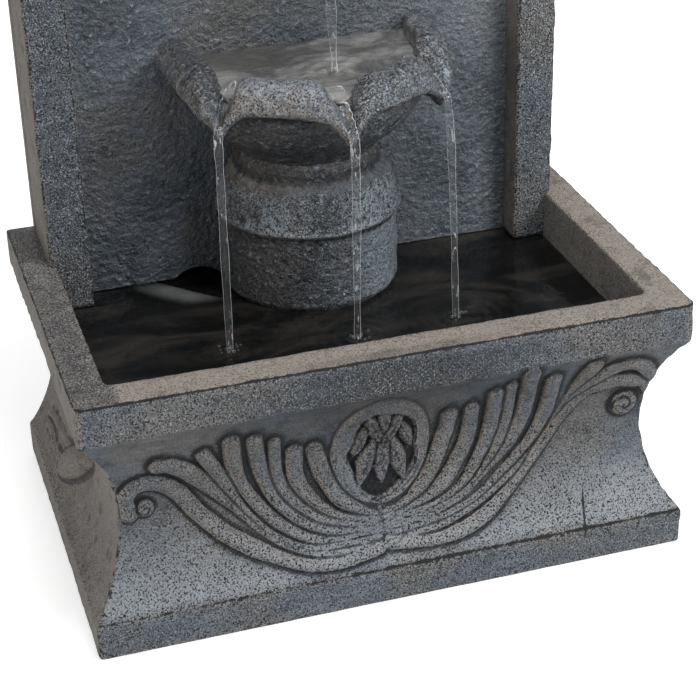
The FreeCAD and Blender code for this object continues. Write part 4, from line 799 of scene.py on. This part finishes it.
def frame_surface(material):
    """Pilasters and arch: an L-shaped section, given by its distance inward and its depth, carried round."""
    behind = panel_y + 1 * MM
    section = [(0, frame_back), (0, frame_front), (pilaster_width, frame_front), (pilaster_width, behind),
               (frame_shell, behind), (frame_shell, frame_back)]
    loop = closed_loop(section, 1.9 * MM, 150)
    inward, depth = loop[:, 0][None, :], loop[:, 1][None, :]
    side_x = frame_half_width - inward
    ring = arch_radius - inward
    shoulder = arch_centre_z + np.sqrt(ring ** 2 - side_x ** 2)
    swing = np.arcsin(side_x / ring) * np.linspace(-1, 1, 130)[1:-1, None]
    up = np.linspace(0, 1, 150)[:, None]
    left = np.stack([-side_x + 0 * up, depth + 0 * up, frame_foot + (shoulder - frame_foot) * up], -1)
    arch = np.stack([ring * np.sin(swing), depth + 0 * swing, arch_centre_z + ring * np.cos(swing)], -1)
    points = np.concatenate([left, arch, left[::-1] * (-1, 1, 1)], 0)
    keep = ramp(points[..., 2], frame_foot, frame_foot + 6 * MM)
    keep = keep * ramp(points[..., 1], frame_back - 4 * MM, frame_back - 14 * MM)
    points = worn(points, True, 0.55 * MM, 26 * MM, 21, keep)
    front = points[..., 1] < frame_front + 3 * MM
    edge = 1.5 * MM
    to_edge = np.minimum(np.abs(inward - edge), np.abs(inward - (pilaster_width - edge)))
    wash = 0.75 * bell(to_edge, 0, 1.6 * MM) * front
    grit = np.where(front, 1.0, -0.15)
    # fronts darker, and the left pilaster's front darker still, as painted shade
    dust = front * np.where(points[..., 0] < 0, -0.55, -0.30)
    skin("tower_frame", points, material, close="faces", node="tower", wash=wash, grit=grit, dust=dust)


# The urn's section as radius and height in millimetres, up the inside of its wall after the outside
urn_outside = [(44, 338), (64, 338), (66.5, 334), (67.5, 329), (66.5, 323), (67.5, 319), (73, 313),
               (78.5, 304), (82, 293), (83.6, 284), (85.6, 280), (86.6, 277.5), (85.8, 275), (83.4, 273),
               (82, 270), (82, 240), (81.5, 204), (78, 198), (73, 196)]
urn_inside = [(68, 197), (68, 262), (66, 285), (58, 305), (52, 318), (44, 326)]


def urn_surface(material):
    """The half urn: its section swung from one side to the other, as far as the panel."""
    reach = panel_y - frame_front + 0.6 * MM
    loop = closed_loop(np.array(urn_outside + urn_inside) * MM, 1.1 * MM, 220)
    radius, height = loop[:, 0][None, :], loop[:, 1][None, :]
    swing = np.linspace(-1, 1, 200)[:, None] * np.arccos(-reach / np.maximum(radius, reach + 1e-6))
    points = np.stack([radius * np.sin(swing), frame_front - radius * np.cos(swing), height + 0 * swing], -1)
    keep = ramp(points[..., 1], panel_y - 2 * MM, panel_y - 14 * MM)
    points = worn(points, True, 0.5 * MM, 24 * MM, 31, keep)
    r, z = radius / MM, height / MM
    # painted shade under the ridge, with black wash; wash in the groove over the shoulder and low on the drum
    under_ridge = 0.80 * bell(z, 272.2, 1.2) * (r > 78)
    over_shoulder = 0.55 * bell(z, 322.5, 2.2) * (r > 60)
    wash = np.maximum(np.maximum(under_ridge, over_shoulder), 0.6 * bell(z, 201, 3))
    shoulder = np.interp(z, [277, 281, 306, 314], [0, 1, 1, 0])
    drum = ramp(z, 272, 268)
    # pale along the ridge's crest, darker up the neck
    dust = 2.2 * bell(z, 277.6, 1.4) * (r > 84.5) - 1.7 * ramp(z, 316, 324)
    # shoulder pale, darker a little left of the middle, with painted shade on its far left
    dust = dust + shoulder * (1.05 - 2.2 * bell(swing, -0.12, 0.28) - 0.35 * (swing < -0.8))
    # painted light and shade on the drum: lighter on the right, darker on the left
    dust = dust + drum * (1.6 * ramp(swing, 0.10, 0.70) - 1.25 * ramp(swing, 0.2, -0.4))
    grit = shoulder * 1.30 + 0.15 * drum - 0.3 * ramp(z, 312, 318)
    skin("urn_casting", points, material, close="faces", node="urn", wash=wash, grit=grit, dust=dust)


# Ribs of the bowl from its left end to the middle lip, in millimetres: the rim's inner edge, its outer edge,
# the heights of inner edge, crest and outer edge, and 1 where the rim is a lip's open channel
left_ribs = [
    ((-97, 112.5), (-128, 112.5), 424, 435, 419, 0),
    ((-95, 86), (-127, 82), 423, 435, 417, 0),
    ((-92, 58), (-125, 52), 423, 434, 414, 0),
    ((-90, 36), (-121, 25), 422, 432.5, 410, 0),
    ((-90, 24), (-115, 6), 418, 425, 403, 0),
    ((-88, 19), (-107, -5), 415, 415, 398, 0),
    ((-83, 16), (-102, -12), 414, 407, 394, 1),
    ((-79, 12), (-95, -14), 415, 418, 399, 0),
    ((-75, 9), (-87, -18), 420, 431, 407, 0),
    ((-66, 4), (-77, -24), 423, 434.5, 411, 0),
    ((-45, -8), (-56, -36), 423, 434.5, 411.5, 0),
    ((-25, -19), (-35, -48), 423, 434.5, 411, 0),
    ((-15, -23), (-20, -53), 420, 431, 408, 0),
    ((-8, -23), (-10, -58), 415, 419, 401, 0),
    ((0, -21), (0, -65), 413, 405.5, 393, 1),
]


def mirrored(ribs, inner_shift=2, back=0, raised=0):
    """Right-hand ribs from left-hand ones: a mirror about 1 mm right of the middle, moved as asked."""
    return [((inner_shift - a, b + back), (2 - c, d + back), low, crest, outer + raised, channel)
            for (a, b), (c, d), low, crest, outer, channel in ribs[::-1]]


bowl_ribs = left_ribs + mirrored(left_ribs[8:-1]) + mirrored(left_ribs[3:8], 1.5, 8, 1)
bowl_ribs += mirrored(left_ribs[1:3], 4) + mirrored(left_ribs[:1], 8)


def rib_line(inner_edge, outer_edge, low, crest, outer, channel):
    """One rib in millimetres: floor, inner wall, rolled rim or lip channel, and belly down to the urn's neck.

    The belly lies on circles about the urn's axis, and each rib keeps its share of the way round to the wall.
    """
    inner_edge, outer_edge = np.array(inner_edge), np.array(outer_edge)
    wall_y, axis_y, wall_reach = 112.5, 83.0, 29.5

    def floor_at(share, height):
        return (inner_edge[0] * share, wall_y + (inner_edge[1] - wall_y) * share, height)

    def across(share, height):
        return (*(inner_edge + (outer_edge - inner_edge) * share), height)

    middle_x, middle_y, _ = across(0.30 if channel else 0.45, 0)
    away = math.hypot(middle_x, middle_y - axis_y)
    turn = math.atan2(middle_x, axis_y - middle_y)
    limit = math.acos(-wall_reach / max(away, wall_reach + 0.1))

    def belly(radius, height):
        angle = turn * math.acos(-wall_reach / radius) / limit
        return (radius * math.sin(angle), axis_y - radius * math.cos(angle), height)

    if channel:
        rim = [(0.0, low - 1), (0.25, low - 3), (0.5, crest), (0.75, (crest + outer) / 2), (0.95, outer + 2),
               (1.0, outer - 2), (0.97, outer - 8), (0.70, outer - 10)]
    else:
        rim = [(0.0, low), (0.08, crest - 2.5), (0.32, crest), (0.64, crest - 2.0), (0.90, crest - 8),
               (1.0, outer + 4), (0.97, outer - 3), (0.76, outer - 7)]
    top = min(away, 112.0)
    return ([floor_at(*at) for at in ((0.25, 369), (0.5, 371), (0.78, 382), (0.95, 404))]
            + [across(*at) for at in rim]
            + [belly(*at) for at in ((top, 398), (top * 0.95, 382), (top * 0.85, 364), (76, 349), (68, 341),
                                     (64, 338), (46, 338))])


def bowl_surface(material):
    """The bowl: smooth curves down each rib, and across the ribs from one to the next."""
    down_steps = 120
    ribs = np.array([rib_line(*rib) for rib in bowl_ribs], float) * MM
    down = np.stack([smooth_line(rib, down_steps) for rib in ribs])
    count = 16 * (len(ribs) - 1)
    flat = smooth_line(down.reshape(len(ribs), -1), count)
    points = flat.reshape(count, down_steps, 3).transpose(1, 0, 2)
    points[:, [0, -1], 1] = panel_y
    points[..., 1] = np.minimum(points[..., 1], panel_y)
    keep = ramp(points[..., 1], panel_y - 1 * MM, panel_y - 11 * MM)
    points = worn(points, False, 0.55 * MM, 20 * MM, 41, keep)
    points[..., 1] = np.minimum(points[..., 1], panel_y)

    rib_points = 18
    row = np.arange(down_steps)[:, None] / (down_steps - 1) * rib_points
    side_x = points[..., 0]
    on_right, on_left = side_x > 4 * MM, side_x < -92 * MM
    middle = np.interp(side_x, [-0.092, -0.075, -0.006, 0.004], [0, 1, 1, 0])
    # wash along the band's lower edge and under it, with painted shade
    wash = 0.55 * bell(row, 3.7, 0.35) + 0.80 * bell(row, 10.6, 0.7) + 0.30 * ramp(row, 11, 12.5)
    # painted shade under the band; the middle paler, the wings darker
    dust = bell(row, 6.5, 2.4) * (0.68 * middle - 0.75 * on_right - 1.1 * on_left) - 1.1 * ramp(row, 10, 11.5)
    grit = np.interp(row, [3, 4.5, 9, 10.5, 12], [-0.2, 0.35, 0.45, 0.2, 0.1])
    grit = grit + 0.9 * on_right + 0.4 * on_left
    ends = ((0.0, panel_y, 368 * MM), (0.0, panel_y, 338 * MM))
    skin("bowl_casting", points, material, wrap=False, close="wall", ends=ends, node="bowl", wash=wash,
         grit=grit, dust=dust)


# Water

# Each stream: its path in millimetres, its half widths along it, how often it turns, and its depth as a share
# of its width
streams = {
    "stream_from_spout": (
        [(2, 6, 632), (3, 10, 600), (5, 14, 550), (9, 20, 480), (12, 24, 418.5)],
        [3.6, 3.8, 4.0, 4.2, 4.6], 0.8, 0.5),
    "stream_left_lip": (
        [(-78, 26, 418), (-83.5, 16.5, 416), (-88.5, 9, 412.5), (-93.5, 1.5, 407), (-98.5, -6, 400),
         (-102.2, -12.5, 395), (-104, -16, 388), (-105.5, -22, 360), (-108.5, -34, 280), (-111, -44, 199)],
        [6.5, 6, 5.5, 5, 4.2, 3.9, 3.8, 3.7, 3.5, 3.2], 0.04, 0.80),
    "stream_middle_lip": (
        [(0, -12, 418), (0, -24, 415.5), (0, -36, 411), (0, -48, 405), (0, -59, 398), (0.5, -65.2, 393.5),
         (1, -66.8, 386), (1.2, -66.5, 350), (1.5, -62.5, 280), (2, -57, 199)],
        [7, 7, 6.5, 6, 5.0, 4.5, 4.1, 3.8, 3.4, 3.0], 0.04, 0.80),
    "stream_right_lip": (
        [(80, 34, 418.5), (85.5, 24.5, 417), (90.5, 17, 413.5), (95.5, 9.5, 408.5), (100.5, 2, 401.5),
         (104, -4.5, 396.5), (104.8, -8.5, 390), (104, -18, 360), (100.5, -36, 280), (97, -51, 199)],
        [5.5, 5.5, 5, 4.4, 3.6, 3.0, 3.1, 3.4, 3.2, 2.8], 0.04, 0.80),
}
bowl_foot, *pool_feet = [tuple(c * MM for c in path[-1][:2]) for path, *rest in streams.values()]


def ripples(x, y, foot, spread, length):
    """Rings about a stream's foot: a cosine of the distance that dies away with it."""
    away = np.hypot(x - foot[0], y - foot[1])
    return 1.3 * MM * np.exp(-away / spread) * np.cos(away * 2 * math.pi / length)


def pool(material):
    """The basin's water: a sheet with rings about each stream's foot, over smooth noise."""
    overlap = 0.6 * MM
    opening = half_width - rim_width + overlap
    x = np.linspace(-opening, opening, 240)
    y = np.linspace(front_y + rim_width + front_rim_extra - overlap, back_y - back_rim_width + overlap, 156)
    grid_y, grid_x = np.meshgrid(y, x, indexing="ij")
    points = np.stack([grid_x, grid_y, np.full(grid_x.shape, water_level)], -1)
    points[..., 2] += sum(ripples(grid_x, grid_y, foot, 22 * MM, 11 * MM) for foot in pool_feet)
    points[..., 2] += 0.25 * MM * noise_field(points * (1, 1, 0), 40 * MM, 9)
    piece = skin("pool_water", points, material, wrap=False, close="")
    depth = piece.modifiers.new("depth", "SOLIDIFY")
    depth.thickness = 4 * MM
    depth.offset = -1.0


def bowl_pool(material):
    """The bowl's water: a disc inside the rim that dips to each lip, with rings where the stream lands."""
    high_crest = 430
    edge = []
    for inner_edge, outer_edge, low, crest, outer, channel in bowl_ribs:
        reach, drop = (0.30, 3.0) if channel else (0.12, 0.0) if crest > high_crest else (0.22, 1.0)
        edge.append([a + (b - a) * reach for a, b in zip(inner_edge, outer_edge)] + [-drop])
    wall_y = 112.3
    edge[0][1] = edge[-1][1] = wall_y
    edge = smooth_line(np.array(edge) * MM, 260)
    home = np.stack([np.linspace(edge[-1, 0], edge[0, 0], 60), np.full(60, wall_y * MM), np.zeros(60)], 1)
    ring = np.vstack([edge, home[1:-1]])
    centre = np.array([0.0, 0.045, 0.0])
    share = np.linspace(0.0, 1.0, 60)[1:]
    top = centre + (ring - centre)[None, :, :] * share[:, None, None]
    dip = ring[None, :, 2] * ramp(share, 0.86, 1.0)[:, None]
    swell = ripples(top[..., 0], top[..., 1], bowl_foot, 35 * MM, 13 * MM)
    swell = swell + 0.5 * MM * noise_field(top, 22 * MM, 12)
    top[..., 2] = bowl_water_level + dip + swell * ramp(share, 1.02, 0.94)[:, None]
    low = top[::-1] - (0, 0, 4 * MM)
    skin("bowl_water", np.concatenate([top, low], 0), material)


def stream(name, number, path, width, twist, flat, material):
    """Falling water: a flattened ring carried along its fall, turning slowly and swelling by slow waves."""
    line = smooth_line(np.array(path) * MM, 170)
    share = np.linspace(0, 1, len(line))
    phase = number * 1.7
    radius = np.interp(share, np.linspace(0, 1, len(width)), width) * MM
    radius *= 1 + 0.08 * np.sin(share * 31 + phase) + 0.06 * np.sin(share * 83 + 2 * phase)
    turn = share * twist * 2 * math.pi + 0.4 * np.sin(share * 17 + phase)
    around = np.linspace(0, 2 * math.pi, 16, endpoint=False)
    heading = np.gradient(line, axis=0)
    heading /= np.linalg.norm(heading, axis=1)[:, None]
    side = np.cross(heading, np.array([0.0, 1.0, 0.15]))
    side /= np.linalg.norm(side, axis=1)[:, None]
    third = np.cross(heading, side)
    u = np.cos(around)[None, :] * radius[:, None]
    v = np.sin(around)[None, :] * (radius * np.interp(share, [0.12, 0.30], [0.30, flat]))[:, None]
    c, s = np.cos(turn)[:, None], np.sin(turn)[:, None]
    points = line[:, None, :] + side[:, None, :] * (u * c - v * s)[..., None]
    skin(name, points + third[:, None, :] * (u * s + v * c)[..., None], material)


def beads(name, centres, radii, material):
    """Small round drops: a sphere by latitude and longitude about each centre, all in one mesh."""
    belts, around = 5, 10
    lat = np.linspace(0, math.pi, belts + 2)[1:-1, None]
    lon = np.linspace(0, 2 * math.pi, around, endpoint=False)[None, :]
    ball = np.stack([np.sin(lat) * np.cos(lon), np.sin(lat) * np.sin(lon), np.cos(lat) + 0 * lon], -1)
    ball = np.vstack([ball.reshape(-1, 3), [[0, 0, 1], [0, 0, -1]]])
    index = np.arange(belts * around).reshape(belts, around)
    ahead = np.roll(index, -1, 1)
    quads = np.stack([index[:-1], index[1:], ahead[1:], ahead[:-1]], -1).reshape(-1, 4)
    caps = np.vstack([np.stack([index[0], ahead[0], np.full(around, index.size)], -1),
                      np.stack([ahead[-1], index[-1], np.full(around, index.size + 1)], -1)])
    shift = np.arange(len(centres))[:, None, None] * len(ball)
    vertices = (centres[:, None, :] + radii[:, None, None] * ball[None]).reshape(-1, 3)
    faces = (quads[None] + shift).reshape(-1, 4).tolist() + (caps[None] + shift).reshape(-1, 3).tolist()
    mesh = bpy.data.meshes.new(name)
    mesh.from_pydata(vertices.tolist(), [], faces)
    mesh.polygons.foreach_set("use_smooth", np.ones(len(faces), bool))
    mesh.materials.append(material)
    mesh.update()
    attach(add(name, mesh), "root")


def splashes(material):
    """Drops thrown up about each stream's foot."""
    draw = np.random.default_rng(5)
    drops = 16
    centres, radii = [], []
    for (x, y), z in [(foot, water_level) for foot in pool_feet] + [(bowl_foot, bowl_water_level)]:
        angle = draw.uniform(0, 2 * math.pi, drops)
        away = draw.uniform(0.001, 0.011, drops)
        lift = draw.uniform(0.0, 0.007, drops)
        centres.append(np.stack([x + away * np.cos(angle), y + away * np.sin(angle), z + lift], -1))
        radii.append(draw.uniform(0.0005, 0.0014, drops))
    beads("splash_drops", np.concatenate(centres), np.concatenate(radii), material)


def clinging(material):
    """Drops that cling to the urn's drum and to the panel on its right."""
    draw = np.random.default_rng(8)
    drops, drum_radius = 90, 82.2 * MM
    angle = draw.uniform(-0.5, 1.45, drops)
    height = draw.uniform(0.206, 0.268, drops)
    drum = np.stack([drum_radius * np.sin(angle), frame_front - drum_radius * np.cos(angle), height], -1)
    x = draw.uniform(0.075, 0.195, drops)
    z = draw.uniform(0.215, 0.40, drops)
    panel = np.stack([x, np.full(drops, panel_y - 0.3 * MM), z], -1)
    beads("clinging_drops", np.concatenate([drum, panel]), draw.uniform(0.0005, 0.0012, 2 * drops), material)


# The object

dry = cement("cast_cement_dry")
wet = cement("cast_cement_wet", True)
basin_surface(dry)
frame_surface(dry)
urn_surface(wet)
bowl_surface(wet)

finishes = {
    "cast_cement": dry,
    "vinyl_hose": plain("pale_vinyl", (0.62, 0.66, 0.66), 0.35),
    "pump_black": plain("black_moulded_plastic", (0.018, 0.018, 0.02), 0.42),
    "fitting_grey": plain("grey_fitting_plastic", (0.16, 0.17, 0.18), 0.45),
    "cover_grey": plain("grey_cover_plastic", (0.12, 0.13, 0.14), 0.5),
    "rubber_black": plain("black_rubber", (0.02, 0.02, 0.02), 0.7),
    "steel": plain("stainless_steel", (0.55, 0.55, 0.56), 0.3, 1.0),
    "brass": plain("turned_brass", (0.62, 0.45, 0.18), 0.3, 1.0),
    "ferrite": plain("ferrite_magnet", (0.05, 0.05, 0.055), 0.55, 0.3),
    "core_steel": plain("laminated_core", (0.3, 0.3, 0.32), 0.45, 0.9),
    "coil_copper": plain("enamelled_copper", (0.6, 0.26, 0.11), 0.35, 0.8),
    "shaft_ceramic": plain("white_ceramic", (0.8, 0.79, 0.75), 0.25),
    "clip_white": plain("white_clip_plastic", (0.75, 0.75, 0.73), 0.4),
}
damp = ("tower_panel", "spout")
for part in frame["record"]["subparts"]:
    node = frame["nodes"].get(part["node"])
    if node is not None:
        node.data.materials.clear()
        node.data.materials.append(wet if part["node"] in damp else finishes[part["material_slot"]])

pool(pool_water("dark_pool_water"))
bowl_pool(bowl_water("stirred_bowl_water"))
clear = running_water("running_water")
for number, (name, shape) in enumerate(streams.items(), 2):
    stream(name, number, *shape, clear)
splashes(clear)
clinging(clear)


# Floor, lights and camera

def floor():
    """A pale floor that glows for the camera, mirrors and glass alone, and keeps the object's shadow."""
    mesh = bpy.data.meshes.new("floor")
    half = 6.0
    corners = [(-half, -half, 0), (half, -half, 0), (half, half, 0), (-half, half, 0)]
    mesh.from_pydata(corners, [], [(0, 1, 2, 3)])
    paint = Paint("pale_floor")
    mesh.materials.append(paint.finish(Base_Color=(0.82, 0.82, 0.82), Roughness=0.9))
    path = paint.node("ShaderNodeLightPath")
    seen = (path["Is Camera Ray"] + path["Is Glossy Ray"] + path["Is Transmission Ray"]).math("MINIMUM", 1.0)
    unlit = paint.node("ShaderNodeEmission", Color=(0.0, 0.0, 0.0), Strength=0.0)["Emission"]
    glow = paint.node("ShaderNodeEmission", Color=(1.0, 1.0, 1.0), Strength=0.55)["Emission"]
    share = paint.tree.nodes.new("ShaderNodeMixShader")
    both = paint.tree.nodes.new("ShaderNodeAddShader")
    surface = paint.tree.nodes["Material Output"].inputs["Surface"]
    for source, target in ((seen.socket, share.inputs[0]), (unlit.socket, share.inputs[1]),
                           (glow.socket, share.inputs[2]), (paint.shader.outputs[0], both.inputs[0]),
                           (share.outputs[0], both.inputs[1]), (both.outputs[0], surface)):
        paint.tree.links.new(source, target)
    add("floor", mesh)


def world():
    """Even white surroundings: full white where the camera looks, a softer level as light."""
    studio = bpy.data.worlds.new("studio")
    bpy.context.scene.world = studio
    studio.use_nodes = True
    tree = studio.node_tree
    ground = tree.nodes["Background"]
    ground.inputs["Color"].default_value = (1.0, 1.0, 1.0, 1.0)
    path = tree.nodes.new("ShaderNodeLightPath")
    level = tree.nodes.new("ShaderNodeMapRange")
    level.inputs["To Min"].default_value = 0.22
    level.inputs["To Max"].default_value = 1.0
    tree.links.new(path.outputs["Is Camera Ray"], level.inputs["Value"])
    tree.links.new(level.outputs["Result"], ground.inputs["Strength"])


def lamp(name, place, target, size, power):
    """A soft square lamp that points at a target."""
    data = bpy.data.lights.new(name, "AREA")
    data.size = size
    data.energy = power
    piece = add(name, data)
    piece.location = place
    piece.rotation_euler = (Vector(target) - Vector(place)).to_track_quat("-Z", "Y").to_euler()


def camera():
    """The photograph's camera, solved from the straight edges of plinth, rim and pilasters."""
    place = (-0.42537, -1.45176, 0.98719)
    azimuth, elevation, roll = (math.radians(a) for a in (-16.7638, 28.7165, -1.5006))
    focal_pixels, picture_pixels, sensor_width = 1869.53, 700, 36.0
    level_out = math.cos(elevation)
    back = Vector((math.sin(azimuth) * level_out, -math.cos(azimuth) * level_out, math.sin(elevation)))
    right = (-back).cross(Vector((0, 0, 1))).normalized()
    up = right.cross(-back)
    rolled_right = math.cos(roll) * right + math.sin(roll) * up
    rolled_up = -math.sin(roll) * right + math.cos(roll) * up
    data = bpy.data.cameras.new("camera")
    data.sensor_width = sensor_width
    data.lens = focal_pixels / picture_pixels * sensor_width
    piece = add("camera", data)
    turn = Matrix((rolled_right, rolled_up, back)).transposed().to_4x4()
    piece.matrix_world = Matrix.Translation(place) @ turn
    bpy.context.scene.camera = piece


floor()
world()
lamp("key_light", (1.15, -1.5, 1.5), (0, 0, 0.25), 0.9, 34.0)
lamp("top_light", (0.1, -0.5, 2.1), (0, 0, 0.3), 0.9, 24.0)
lamp("back_light", (0.0, 2.0, 1.0), (0.0, 0.1, 0.4), 1.2, 12.0)
lamp("left_light", (-1.8, -0.7, 0.8), (0, 0, 0.25), 1.0, 9.0)
camera()
bpy.context.scene.view_settings.view_transform = "Standard"
